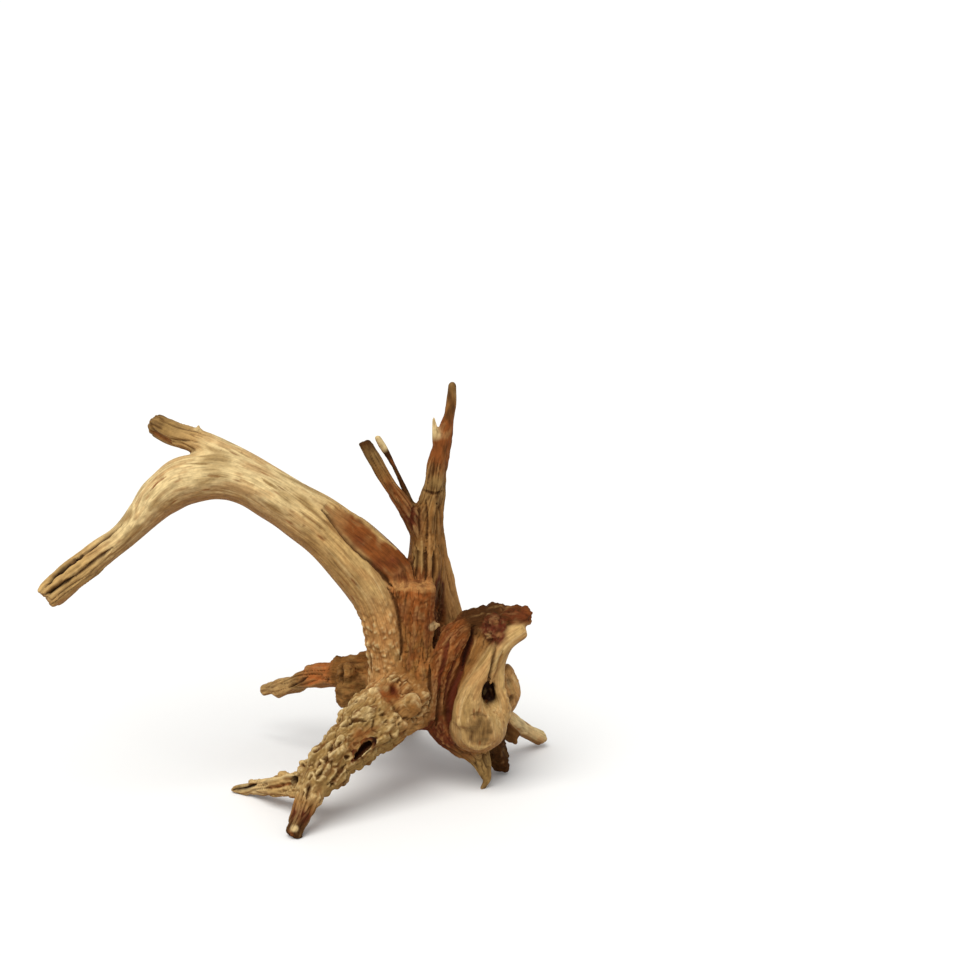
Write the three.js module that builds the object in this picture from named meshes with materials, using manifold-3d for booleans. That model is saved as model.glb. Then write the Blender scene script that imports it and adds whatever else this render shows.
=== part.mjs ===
// Aquarium driftwood: one branching root with a great arching limb, three upright prongs,
// a burl at the right and the feet that it stands on.
// Millimetres, +Z up, seen along +Y with +X to the right. The origin is the middle of the
// footprint, on the surface that the wood stands on.
import * as THREE from "three";
import { mergeVertices } from "three/addons/utils/BufferGeometryUtils.js";
import Module from "manifold-3d";

const wasm = await Module();
wasm.setup();

// Driving dimensions
const FORK_GAP = 0.3; // the thin gap at each fork, where two branches are told apart
const FLOOR_SIZE = 400;
const FLOOR_DEPTH = 40;
const CRACK_DEPTH = 4;

const UP = new THREE.Vector3(0, 0, 1);
const BACK = new THREE.Vector3(0, 1, 0);

// Each limb is a row of stations from its root to its tip: x, y, z and the limb's radius there
const ARCH_FRONT = [
  [48, -4, 48, 13], [46, -4, 68, 10.5], [42, -4, 88, 10], [36, -4, 103, 10.3],
  [26, -5, 118, 10.3], [13, -6, 133, 10.3], [-4, -7, 147, 11], [-21, -8, 159, 10.6],
  [-38, -9, 165, 11.2], [-55, -10, 163, 12], [-66, -12, 156, 11], [-75, -14, 146, 8.4],
  [-85, -17, 136, 7], [-98, -21, 127, 7.2], [-110, -25, 118, 8], [-123, -28, 107, 7],
];
const ARCH_REAR = [
  [64, 8, 87, 10], [55, 5, 101, 10.5], [44, 3, 115, 11], [30, 1, 129, 10], [14, -1, 142, 9],
  [-3, -2, 154, 8], [-20, -2, 165, 7.5], [-37, -2, 174, 7], [-50, 2, 180, 6.5],
  [-62, 6, 183, 6], [-72, 10, 187, 5],
];
const COLUMN = [[58, -6, 50, 14], [59, -7, 69, 10.5], [59, -7, 88, 9.5], [60, -7, 106, 9]];
const STEM = [
  [60, 5, 56, 13], [61, 9, 80, 10.5], [63, 11, 97, 10], [65, 11, 113, 9.5],
  [65, 10, 128, 8.5], [66, 9, 141, 7], [69, 9, 154, 6], [71, 10, 166, 5.2],
  [73, 11, 177, 4.8], [75.5, 12, 188, 3.3], [77, 12, 197, 2.5], [78, 12, 206, 2.2],
];
const SPLINTER = [[71, 8, 172, 3], [70, 7, 179, 1.8], [69, 7, 187, 0.8]];
const LEFT_PRONG = [[62, 6, 131, 6], [54, 4, 145, 5], [47, 2, 157, 4.6], [40, 1, 169, 4], [34, 0, 181, 3.2]];
const TWIG = [[60, 11, 136, 3], [54, 12, 151, 2], [48, 14, 164, 2], [43, 15, 173, 2], [41, 15, 178, 1.5]];
const REAR_STRAND = [
  [68, 11, 130, 6], [70, 13, 114, 6], [73, 15, 97, 6.5], [77, 17, 78, 7.5], [82, 17, 58, 9],
  [93, 17.5, 37, 8.5], [104, 24, 23, 6], [114, 36, 12, 5], [124, 46, 2.4, 4.8],
];
const REAR_ROOT = [[55, 8, 46, 14], [52, 32, 36, 11], [49, 54, 20, 8], [53, 72, 6, 5.6], [55, 79, 1, 4]];
const LEFT_ROOT = [[44, 7, 55, 12], [28, 14, 53, 9], [13, 24, 47, 7], [1, 35, 41, 5.8], [-10, 45, 33, 5], [-21, 54, 27, 3.4]];
const LEG = [[58, -6, 50, 16], [48, -18, 46, 16.5], [38, -32, 40, 15.5], [28, -45, 33, 12.5], [18, -56, 26, 11], [11, -63, 20, 8.5]];
const FRONT_TOE = [[11, -62, 22, 8], [6, -70, 14, 6], [3, -75, 7, 4.8], [0, -78, 0.5, 4.2]];
const LEFT_TOE = [[12, -56, 22, 8], [-2, -44, 14, 5.8], [-16, -31, 8, 4.2], [-26, -22, 3, 3.2], [-34, -19, 1.2, 2.2]];
const BURL_BARK = [
  [66, -6, 41, 12], [71, -8, 59, 10], [79, -8, 75, 9.5], [88, -6, 84, 8.6], [98, -4, 87, 8],
  [108, -6, 88, 7], [116, -6, 88, 5.6],
];
const BURL_PALE = [[111, -10, 85, 6], [102, -14, 76, 6], [95, -18, 64, 6.5], [88, -20, 50, 8.5], [87, -20, 38, 10]];
const BURL_CORE = [[74, -5, 44, 12], [83, -6, 57, 11], [92, -7, 69, 9.5], [101, -8, 79, 7.5]];
const BURL_RIGHT = [[106, -8, 80, 5], [101, -9, 71, 4.5], [103, -10, 61, 4.4], [104, -11, 50, 5], [103, -12, 36, 7]];
const BURL_STRIP = [[70, -6, 40, 10], [77, -6, 27, 8.5], [87, -7, 18, 6]];
const SPIKE = [[90, -8, 20, 6.5], [94, -11, 10, 4], [95, -13, 4, 2.6], [93, -14, -1, 1.8]];
const STUB = [[94, -4, 32, 8], [98, 1, 21, 6.5], [102, 6, 11, 5], [104, 10, 2, 4]];

// Hollows: what rot and wear have taken out of the wood
const CRACK_UPPER = [[-124, -32, 114, 1.4], [-116, -31, 120, 1.8], [-100, -25, 132, 1.3], [-86, -20, 143, 0.9]];
const CRACK_LOWER = [[-126, -33, 105, 1.4], [-118, -33, 112, 1.4], [-106, -30, 120, 1.2], [-90, -24, 134, 0.9]];
const LEG_SLIT = [[38, -48, 41, 1.6], [34, -52, 38, 3], [30, -56, 34, 1.4]];
const TOE_GROOVE = [[-38, -22, 3, 1], [-26, -26, 7, 1.4], [-17, -34, 12, 0.8]];

// Pits of the leg: the share of the way along it, degrees round from its top, radius
const LEG_PITS = [
  [0.3, -20, 3], [0.36, -75, 2.6], [0.44, -40, 3], [0.5, 5, 2.6], [0.56, -62, 2.6],
  [0.64, -25, 2.6], [0.72, -58, 2.4], [0.8, -12, 2.2], [0.86, -66, 2], [0.4, 40, 2.8],
];

// How far a surface point is pushed in or out, from -1 to 1, with lumps of the given size
function lumpiness(point, size) {
  const { x, y, z } = point;
  const across = Math.sin((1.7 * x) / size + 2 * Math.sin(z / size));
  const deep = Math.sin((1.9 * y) / size + 1.3 * Math.sin(x / size) + 2);
  const high = Math.sin((1.4 * z) / size + 1.7 * Math.sin(y / size) + 4);
  return (across + deep + high) / 3;
}

// A closed geometry as a solid that can be joined and cut
function toSolid(geometry) {
  geometry.deleteAttribute("normal");
  geometry.deleteAttribute("uv");
  const merged = mergeVertices(geometry, 1e-4);
  return new wasm.Manifold(new wasm.Mesh({
    numProp: 3,
    vertProperties: new Float32Array(merged.attributes.position.array),
    triVerts: new Uint32Array(merged.index.array),
  }));
}

// A limb along its stations. ribs is a number of lengthwise flutes, ribDepth their depth as a
// share of the radius, and jag how far a broken tip's splinters stand out, in millimetres.
function limb(stations, options = {}) {
  const {
    sides = 10, steps = 12, reference = BACK, ribs = 3, ribDepth = 0.06, ribTurn = 1,
    lump = 0.6, lumpSize = 7, tip = 0.5, tipShrink = 0.75, jag = 0, flatten = 1,
  } = options;
  const places = stations.map(([x, y, z]) => new THREE.Vector3(x, y, z));
  const radii = stations.map(([, , , radius], index) => new THREE.Vector3(index, radius, 0));
  const route = new THREE.CatmullRomCurve3(places, false, "catmullrom", 0.5);
  const thickness = new THREE.CatmullRomCurve3(radii, false, "catmullrom", 0.5);
  const geometry = new THREE.CylinderGeometry(1, 1, 1, sides, steps);
  const corners = geometry.attributes.position;
  const corner = new THREE.Vector3();
  for (let index = 0; index < corners.count; index += 1) {
    corner.fromBufferAttribute(corners, index);
    const along = THREE.MathUtils.clamp(corner.y + 0.5, 0, 1);
    const out = Math.min(1, Math.hypot(corner.x, corner.z));
    const angle = Math.atan2(corner.x, corner.z);
    const tangent = route.getTangent(along);
    const side = new THREE.Vector3().crossVectors(tangent, reference).normalize();
    const rear = new THREE.Vector3().crossVectors(side, tangent);
    const flutes = 1 + ribDepth * Math.cos(ribs * angle + ribTurn * along * Math.PI);
    const shrink = along > 1 - 0.5 / steps ? tipShrink : 1;
    const radius = thickness.getPoint(along).y * flutes * shrink;
    const point = route.getPoint(along);
    point.addScaledVector(side, Math.sin(angle) * radius * out);
    point.addScaledVector(rear, Math.cos(angle) * radius * out * flatten);
    const push = lump * lumpiness(point, lumpSize) * out;
    point.addScaledVector(side, Math.sin(angle) * push);
    point.addScaledVector(rear, Math.cos(angle) * push);
    if (out < 0.5) {
      const bulge = (along > 0.5 ? tip : -0.5) * radius;
      point.addScaledVector(tangent, bulge);
    } else if (along === 1) {
      point.addScaledVector(tangent, jag * Math.sin(3 * angle + 1));
    }
    corners.setXYZ(index, point.x, point.y, point.z);
  }
  return toSolid(geometry);
}

// A rounded lump of wood, such as a knot, a bulb or the middle of the crown
function knob([x, y, z], [wide, deep, high], options = {}) {
  const { detail = 3, lump = 0.5, lumpSize = 6 } = options;
  const geometry = new THREE.IcosahedronGeometry(1, detail);
  const corners = geometry.attributes.position;
  const corner = new THREE.Vector3();
  const outward = new THREE.Vector3();
  for (let index = 0; index < corners.count; index += 1) {
    outward.fromBufferAttribute(corners, index).normalize();
    corner.set(x + outward.x * wide, y + outward.y * deep, z + outward.z * high);
    corner.addScaledVector(outward, lump * lumpiness(corner, lumpSize));
    corners.setXYZ(index, corner.x, corner.y, corner.z);
  }
  return toSolid(geometry);
}

// A thin disc across a branch, where the branch is told apart from what it grows from
function forkDisc([x, y, z], direction, radius) {
  const geometry = new THREE.CylinderGeometry(radius, radius, FORK_GAP, 20);
  const along = new THREE.Vector3(...direction).normalize();
  geometry.applyQuaternion(new THREE.Quaternion().setFromUnitVectors(BACK, along));
  geometry.translate(x, y, z);
  return toSolid(geometry);
}

// A thin upright wall, for the same use where a round disc would cut into a neighbour
function forkWall([x, y, z], [wide, deep, high]) {
  const geometry = new THREE.BoxGeometry(wide, deep, high);
  geometry.translate(x, y, z);
  return toSolid(geometry);
}

function joinAll(solids) {
  return solids.reduce((whole, solid) => whole.add(solid));
}

function cutAll(whole, solids) {
  return solids.reduce((rest, solid) => rest.subtract(solid), whole);
}

// The crown: the knotty middle, the column with its broken ledge, and the strands behind it
function crownWood() {
  return [
    knob([58, -3, 49], [22, 17, 20], { detail: 3, lump: 1.4, lumpSize: 5 }),
    knob([53, -5, 82], [8, 8, 24], { detail: 1 }),
    limb(COLUMN, { sides: 10, steps: 7, ribs: 5, ribDepth: 0.08, lump: 0.7, tip: -0.2, tipShrink: 1, jag: 2 }),
    knob([57, -19, 46], [7, 5, 7], { detail: 1 }),
    knob([68, -1, 84], [3.4, 3, 2.4], { detail: 1 }),
    knob([27, 8, 46], [9, 9, 13], { detail: 2, lump: 1.2, lumpSize: 4 }),
    limb(REAR_STRAND, { sides: 8, steps: 16, tip: 0.1, tipShrink: 0.95, jag: 0.8 }),
    limb(REAR_ROOT, { sides: 9, steps: 9, reference: UP, lump: 1, tip: 0.4 }),
    limb(LEFT_ROOT, { sides: 8, steps: 11, reference: UP, ribs: 4, ribDepth: 0.1, lump: 0.8, lumpSize: 5 }),
  ];
}

// The arching limb: two strands grown together, the rear one ending in a broken stub
function archWood() {
  return [
    limb(ARCH_FRONT, { sides: 10, steps: 25, ribDepth: 0.05, lump: 0.7, lumpSize: 9, tip: 0.1, tipShrink: 0.9, jag: 1.5 }),
    limb(ARCH_REAR, { sides: 9, steps: 17, lumpSize: 9, tip: 0.3 }),
    knob([-48, 1, 187], [1.6, 1.2, 2.2], { detail: 1, lump: 0 }),
  ];
}

// The uprights: the fluted stem up to its tall tip, the left prong, the twig and the splinter
function uprightWood() {
  return [
    limb(STEM, { sides: 9, steps: 18, ribs: 5, ribDepth: 0.07, tip: 0.4 }),
    limb(SPLINTER, { sides: 6, steps: 4, lump: 0, tip: 1 }),
    limb(LEFT_PRONG, { sides: 8, steps: 10, ribs: 4, ribDepth: 0.08, tip: 0.3 }),
    limb(TWIG, { sides: 6, steps: 10, lump: 0.2, tip: 0.5 }),
  ];
}

// The front leg with its two toes, knobbly all over
function legWood() {
  return [
    limb(LEG, { sides: 12, steps: 13, reference: UP, ribs: 5, ribDepth: 0.05, lump: 1.5, lumpSize: 3.6 }),
    limb(FRONT_TOE, { sides: 8, steps: 7, reference: UP, lump: 0.5, tip: 0.2 }),
    limb(LEFT_TOE, { sides: 8, steps: 10, reference: UP, ribs: 3, ribDepth: 0.1, lump: 0.6, lumpSize: 4 }),
    knob([8, -50, 28], [3, 3, 2.6], { detail: 1, lump: 0.2 }),
    knob([-10, -36, 14], [3.4, 2.6, 2.6], { detail: 0, lump: 0.2 }),
    knob([-22, -26, 7.5], [3.6, 2.4, 2.4], { detail: 0, lump: 0.2 }),
  ];
}

// The burl: the bark strand with its rough broken end, the two pale strands that part around the
// dark hole, the bulb, the lump behind and the strip of bark below
function burlWood() {
  return [
    limb(BURL_BARK, { sides: 10, steps: 13, ribs: 4, ribDepth: 0.08, lump: 1.1, lumpSize: 4.5, tip: 0.1, jag: 1.2 }),
    knob([102, -9, 87], [9, 6, 8], { detail: 2, lump: 1.4, lumpSize: 3 }),
    limb(BURL_PALE, { sides: 10, steps: 10, lump: 0.4 }),
    limb(BURL_CORE, { sides: 8, steps: 5, lump: 0 }),
    limb(BURL_RIGHT, { sides: 8, steps: 9, lump: 0.3 }),
    knob([91, -16, 35], [14.5, 12, 14], { detail: 2, lump: 0.6 }),
    knob([103, -1, 48], [7.5, 7, 11], { detail: 1, lump: 0.8 }),
    knob([92, -4, 42], [14, 13, 18], { detail: 1 }),
    limb(BURL_STRIP, { sides: 8, steps: 6, lump: 1, lumpSize: 4 }),
    limb(SPIKE, { sides: 7, steps: 7, lump: 0.3, tip: 0.3 }),
    limb(STUB, { sides: 8, steps: 6, lump: 0.5, lumpSize: 4, tip: 0.1, jag: 0.6 }),
  ];
}

// A crack is a narrow deep groove, so its limb is drawn out towards the viewer
function crack(stations) {
  return limb(stations, { sides: 6, steps: 6, ribs: 0, lump: 0, flatten: CRACK_DEPTH, tip: 0.5 });
}

// A round pit in a limb's surface
function pit(stations, along, turn, radius) {
  const places = stations.map(([x, y, z]) => new THREE.Vector3(x, y, z));
  const route = new THREE.CatmullRomCurve3(places, false, "catmullrom", 0.5);
  const tangent = route.getTangent(along);
  const side = new THREE.Vector3().crossVectors(tangent, UP).normalize();
  const top = new THREE.Vector3().crossVectors(side, tangent);
  const angle = THREE.MathUtils.degToRad(turn);
  const reach = stations[Math.round(along * (stations.length - 1))][3];
  const place = route.getPoint(along);
  place.addScaledVector(side, Math.sin(angle) * reach).addScaledVector(top, Math.cos(angle) * reach);
  return knob(place.toArray(), [radius, radius, radius], { detail: 0, lump: 0 });
}

// The hollows: the burl's hole, the slit and pits of the leg, and the cracks of the arch's tip
function hollows() {
  return [
    knob([96, -26, 56], [3.4, 12, 7], { detail: 1, lump: 0.2 }),
    limb(LEG_SLIT, { sides: 8, steps: 6, ribs: 0, lump: 0, flatten: 2.4 }),
    knob([0, -54, 27], [3.2, 3.2, 2.2], { detail: 1, lump: 0.2 }),
    limb(TOE_GROOVE, { sides: 6, steps: 6, reference: UP, ribs: 0, lump: 0, flatten: 1.6 }),
    crack(CRACK_UPPER),
    crack(CRACK_LOWER),
    ...LEG_PITS.map(([along, turn, radius]) => pit(LEG, along, turn, radius)),
  ];
}

// What lies below the surface that the wood stands on is worn away flat
function underFloor() {
  const geometry = new THREE.BoxGeometry(FLOOR_SIZE, FLOOR_SIZE, FLOOR_DEPTH);
  geometry.translate(0, 0, -FLOOR_DEPTH / 2);
  return toSolid(geometry);
}

// Where each branch begins
function forks() {
  return [
    forkDisc([40, 2, 107], [-0.6, 0, 0.8], 23),
    forkDisc([-58, 5, 182], [-0.93, 0.3, 0.22], 7.8),
    forkDisc([66, 11, 120], [0, 0, 1], 14),
    forkDisc([54.5, 4, 143.5], [-0.5, -0.13, 0.86], 6.3),
    forkDisc([56, 12, 146], [-0.35, 0.06, 0.93], 3.3),
    forkDisc([44.5, -23, 44], [-0.55, -0.78, -0.3], 20),
    forkDisc([8.5, -66, 18], [-0.35, -0.65, -0.67], 9.5),
    forkDisc([3, -48, 17.5], [-0.7, 0.6, -0.4], 9.5),
    forkDisc([19, 20, 50.5], [-0.78, 0.54, -0.26], 11),
    forkDisc([100.5, 21.5, 28], [0.55, 0.5, -0.67], 9.5),
    forkDisc([92, -9.5, 14.5], [0.45, -0.35, -0.82], 8.5),
    forkDisc([100.5, 3.5, 16], [0.4, 0.5, -0.77], 6.8),
    forkDisc([52.5, 29, 37], [-0.1, 0.9, -0.42], 14),
    forkWall([73.5, -13.5, 52.5], [FORK_GAP, 41, 75]),
    forkWall([97, 7, 56.5], [47.2, FORK_GAP, 61]),
  ];
}

// Each branch is known by a point inside it, and has its own colour
const BRANCHES = [
  { name: "crown", inside: [58, -3, 49], color: 0x9a6a42, roughness: 0.75 },
  { name: "arch_limb", inside: [-38, -9, 165], color: 0xc9a570, roughness: 0.65 },
  { name: "arch_stub", inside: [-66, 8, 185], color: 0xa9814f, roughness: 0.7 },
  { name: "upright_prong", inside: [71, 10, 166], color: 0x8c6a42, roughness: 0.7 },
  { name: "left_prong", inside: [47, 2, 157], color: 0x94683f, roughness: 0.7 },
  { name: "thin_twig", inside: [48, 14, 164], color: 0x4a3322, roughness: 0.7 },
  { name: "front_leg", inside: [28, -45, 33], color: 0xa5865a, roughness: 0.8 },
  { name: "front_toe", inside: [3, -75, 7], color: 0x7a5534, roughness: 0.75 },
  { name: "left_toe", inside: [-16, -31, 8], color: 0xb39463, roughness: 0.75 },
  { name: "left_root", inside: [1, 35, 41], color: 0xa27848, roughness: 0.75 },
  { name: "right_burl", inside: [91, -16, 35], color: 0xb98f58, roughness: 0.65 },
  { name: "burl_spike", inside: [94, -11, 10], color: 0x7b5c3a, roughness: 0.75 },
  { name: "burl_stub", inside: [102, 6, 11], color: 0x56382a, roughness: 0.8 },
  { name: "right_root", inside: [114, 36, 13], color: 0xb2986a, roughness: 0.7 },
  { name: "rear_root", inside: [49, 54, 20], color: 0x8f6c44, roughness: 0.75 },
];

// Which branch a solid is: the one whose point lies inside it
function branchOf(solid) {
  return BRANCHES.find(({ inside }) => {
    const probe = knob(inside, [1, 1, 1], { detail: 0, lump: 0 });
    return !solid.intersect(probe).isEmpty();
  });
}

// One named mesh for a branch
function branchMesh(solid) {
  const { name, color, roughness } = branchOf(solid);
  const mesh = solid.getMesh();
  const geometry = new THREE.BufferGeometry();
  geometry.setAttribute("position", new THREE.BufferAttribute(new Float32Array(mesh.vertProperties), 3));
  geometry.setIndex(new THREE.BufferAttribute(new Uint32Array(mesh.triVerts), 1));
  geometry.computeVertexNormals();
  const material = new THREE.MeshStandardMaterial({ color, roughness, metalness: 0 });
  const branch = new THREE.Mesh(geometry, material);
  branch.name = name;
  return branch;
}

const wood = joinAll([...crownWood(), ...archWood(), ...uprightWood(), ...legWood(), ...burlWood()]);
const worn = cutAll(wood, [...hollows(), underFloor()]);

// A sealed pocket between two strands comes out as a solid of its own turned inside out. It is
// left out, and so the pocket is filled.
const branches = cutAll(worn, forks()).decompose().filter((solid) => solid.volume() > 0);

const driftwood = new THREE.Group();
driftwood.name = "driftwood";
for (const solid of branches) {
  driftwood.add(branchMesh(solid));
}

export default driftwood;
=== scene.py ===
# %% [markdown]
# A piece of aquarium driftwood
#
# The real object is one root that grew in one piece: a great limb that arches over to the left,
# three upright prongs, a swollen burl at the right, and feet that spread over the ground. Sand and
# water have worn it, so it is smooth on the limbs, wormy and pitted on the leg, and still covered
# with red-brown bark in the sheltered middle.
#
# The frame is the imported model: fifteen solids, parted at the forks. It gives the places and sizes.
# This script grows a fine surface over the same limbs, paints it, and parts it at the same forks,
# so that every frame solid gets one finished piece.

# %% Load the frame
import itertools
import math
from dataclasses import dataclass

import bmesh
import bpy
import numpy as np
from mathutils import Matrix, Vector


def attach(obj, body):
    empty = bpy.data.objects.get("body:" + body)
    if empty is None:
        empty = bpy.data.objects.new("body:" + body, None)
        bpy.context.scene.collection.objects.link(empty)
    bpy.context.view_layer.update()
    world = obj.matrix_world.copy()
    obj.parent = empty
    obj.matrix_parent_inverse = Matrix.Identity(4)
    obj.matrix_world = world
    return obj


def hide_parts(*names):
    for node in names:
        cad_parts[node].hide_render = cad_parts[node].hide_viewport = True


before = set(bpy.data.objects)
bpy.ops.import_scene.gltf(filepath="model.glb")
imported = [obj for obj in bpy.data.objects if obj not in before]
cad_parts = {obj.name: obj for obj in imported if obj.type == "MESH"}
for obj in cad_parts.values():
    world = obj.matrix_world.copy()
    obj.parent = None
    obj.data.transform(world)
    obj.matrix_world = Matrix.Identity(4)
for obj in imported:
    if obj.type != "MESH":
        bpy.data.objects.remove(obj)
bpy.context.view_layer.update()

MM = 0.001
print("nodes of the frame:", len(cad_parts))

# %% [markdown]
# The camera
#
# The photograph looks at the wood from the front and a little above it, from far enough away for
# the perspective to be mild. A camera is placed by what it looks at: the target is the point of the
# row frame that lies in the middle of the picture, and the camera stands back from it along a line
# that dips by the photograph's angle.

# %% Place the camera
CAMERA_DIP = math.radians(17)
CAMERA_DISTANCE = 1800 * MM
CAMERA_TARGET = Vector((97.0, 2.0, 160.4)) * MM
PICTURE_WIDTH = 980
FOCAL_LENGTH_PIXELS = 3600
SENSOR_WIDTH = 36.0

camera_data = bpy.data.cameras.new("camera")
camera_data.sensor_width = SENSOR_WIDTH
camera_data.lens = SENSOR_WIDTH * FOCAL_LENGTH_PIXELS / PICTURE_WIDTH
camera = bpy.data.objects.new("camera", camera_data)
looking = Vector((0, math.cos(CAMERA_DIP), -math.sin(CAMERA_DIP)))
camera.location = CAMERA_TARGET - looking * CAMERA_DISTANCE
camera.rotation_euler = (math.pi / 2 - CAMERA_DIP, 0, 0)
bpy.context.scene.collection.objects.link(camera)
bpy.context.scene.camera = camera
print("lens in mm:", round(camera_data.lens, 1))

# %% [markdown]
# The limbs
#
# A root is a bundle of limbs that run into each other, so the shape is drawn as one: each limb is a
# row of stations from its root to its tip, and a station is a place and a radius in millimetres.
# Drawing a limb by hand in edit mode would do as well, but a short row of numbers is easy to read,
# easy to correct, and gives the direction of the grain for the paint later on.
#
# Each limb also says how it looks along its way, with stops as on a colour ramp: how far along, the
# paint, and the texture. Between two stops they are mixed.

# %% Describe a limb
BACK = (0.0, 1.0, 0.0)
UP = (0.0, 0.0, 1.0)


@dataclass
class Limb:
    """A limb, with its sizes in millimetres.

    stations are rows of x, y, z and a radius. stops are rows of how far along, paint and texture.
    ribs is a number of lengthwise flutes and rib_depth their depth as a share of the radius. lump
    is the height of slow lumps and lump_size their length. tip is how far the end bulges, as a
    share of the radius, tip_shrink the share of the radius that its last ring keeps, and jag how
    far splinters stand out there. depth stretches the section towards the reference direction.
    """
    stations: list
    stops: list
    reference: tuple = BACK
    ribs: int = 3
    rib_depth: float = 0.06
    lump: float = 0.6
    lump_size: float = 7.0
    tip: float = 0.5
    tip_shrink: float = 0.75
    jag: float = 0.0
    depth: float = 1.0
    sides: int = 36


# %% Draw the arching limb
arch_front = Limb(
    [
        (48, -4, 48, 13), (46, -4, 68, 10.5), (42, -4, 88, 10), (36, -4, 103, 10.3),
        (26, -5, 118, 10.3), (13, -6, 133, 10.3), (-4, -7, 147, 11), (-21, -8, 159, 10.6),
        (-38, -9, 165, 11.2), (-55, -10, 163, 12), (-66, -12, 156, 11), (-75, -14, 146, 8.4),
        (-85, -17, 136, 7), (-98, -21, 127, 7.2), (-110, -25, 118.3, 7.8), (-123, -28, 107.6, 6.3),
    ],
    [
        (0, "worn", "wormy"), (0.16, "worn", "wormy"), (0.22, "ochre", "silky"), (0.36, "ochre", "silky"),
        (0.5, "pale", "silky"), (0.72, "pale", "silky"), (0.8, "pale", "silky"), (0.9, "ochre", "fluted"),
        (1, "ochre", "fluted"),
    ],
    rib_depth=0.05, lump=0.8, lump_size=9, tip=0.1, tip_shrink=0.9, jag=1.5,
)
arch_rear = Limb(
    [
        (64, 8, 87, 10), (55, 5, 101, 10.5), (44, 3, 115, 11), (30, 1, 129, 10), (14, -1, 142, 9),
        (-3, -2, 154, 8), (-20, -2, 165, 7.5), (-37, -2, 174, 7), (-50, 2, 180, 6.5),
        (-62, 6, 183, 6), (-72, 10, 187, 5),
    ],
    [
        (0, "bark", "flaky"), (0.1, "plum", "flaky"), (0.2, "bark", "silky"), (0.37, "bark", "silky"),
        (0.42, "ochre", "silky"), (0.5, "pale", "silky"), (0.8, "pale", "silky"), (0.86, "tan", "fluted"),
        (0.94, "drab", "fluted"), (1, "grey", "fluted"),
    ],
    lump=0.8, lump_size=9, tip=0.3,
)
print("the arch has", len(arch_front.stations), "stations in front and", len(arch_rear.stations), "behind")

# %% Draw the column and the uprights
column = Limb(
    [
        (59, -8, 48, 13), (61, -9, 66, 9), (62.3, -8.5, 84, 6.8), (62.6, -8, 96, 6.8),
        (62.8, -7.5, 107.5, 7.4),
    ],
    [
        (0, "brown", "flaky"), (0.3, "brown", "flaky"), (0.5, "brown", "flaky"), (0.7, "bark", "flaky"),
        (0.95, "bark", "flaky"), (1, "worn", "flaky"),
    ],
    ribs=4, rib_depth=0.09, lump=0.7, lump_size=4, tip=-0.1, tip_shrink=0.98, jag=0.4, depth=0.85,
)
column_web = Limb(
    [(54, -2, 58, 9), (54, -3.5, 78, 7.6), (54, -4, 94, 7), (53, -4, 107.2, 7.4)],
    [(0, "bark", "flaky"), (0.4, "brown", "flaky"), (0.94, "bark", "flaky"), (1, "worn", "flaky")],
    lump=0.6, lump_size=4, tip=0, tip_shrink=0.95, jag=1,
)
stem = Limb(
    [
        (60, 5, 56, 13), (61, 9, 80, 10.5), (63, 10.5, 97, 10.5), (65, 10.5, 113, 9.8), (65, 10, 128, 8.5),
        (66, 9, 141, 7), (69, 9, 154, 6), (71, 10, 166, 5.2), (73, 11, 176, 4.8), (75, 12, 184.5, 3.9),
        (76.6, 12, 190.5, 2.8), (77.5, 12, 198, 2.7), (78.3, 12, 207.6, 2.5),
    ],
    [
        (0, "bark", "flaky"), (0.25, "brown", "fluted"), (0.55, "brown", "fluted"),
        (0.66, "grey", "fluted"), (0.73, "bark", "fluted"), (0.86, "bark", "silky"),
        (0.92, "brown", "silky"), (1, "grey", "silky"),
    ],
    ribs=5, rib_depth=0.08, lump=0.8, tip=0.2,
)
stem_rib = Limb(
    [(59.5, 0, 104, 2.6), (60, 1, 113, 2.3), (61, 2.5, 122, 2.1), (64, 5, 134, 2)],
    [(0, "brown", "fluted"), (0.5, "drab", "fluted"), (1, "brown", "fluted")],
    lump=0.3, sides=16,
)
stem_ridge = Limb(
    [(66.5, -1, 103, 3), (66, 1, 112, 2.4), (66.5, 2.5, 121, 2.3), (67.5, 5, 133, 2)],
    [(0, "brown", "fluted"), (1, "brown", "fluted")],
    lump=0.3, sides=16,
)
splinter = Limb(
    [(71.5, 9, 169, 2.6), (70.3, 8, 177, 2.3), (69.5, 8, 184, 1.7), (68.8, 8, 191, 0.9)],
    [(0, "bark", "silky"), (0.42, "bark", "silky"), (0.55, "pale", "silky"), (1, "pale", "silky")],
    lump=0, tip=1, sides=16,
)
left_prong = Limb(
    [
        (64, 8, 122, 5.4), (59.5, 5.5, 135, 4.8), (54, 3.5, 146, 4.2), (47, 2, 157, 3.8), (40, 1, 169, 3.5),
        (34.3, 0, 180, 3),
    ],
    [
        (0, "brown", "fluted"), (0.3, "plum", "fluted"), (0.45, "bark", "fluted"), (0.6, "bark", "fluted"),
        (0.7, "brown", "fluted"), (0.88, "grey", "fluted"), (1, "umber", "rough"),
    ],
    ribs=4, rib_depth=0.08, tip=0.05, tip_shrink=0.92, jag=0.4,
)
twig = Limb(
    [
        (60, 12, 136, 2.6), (54, 13.2, 151, 1.7), (48, 15, 164, 1.4), (43, 15.5, 173, 2),
        (39.9, 15.5, 178.5, 1.8),
    ],
    [(0, "umber", "silky"), (0.79, "umber", "silky"), (0.84, "pale", "silky"), (1, "pale", "silky")],
    lump=0.2, tip=0.5, sides=16,
)
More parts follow.
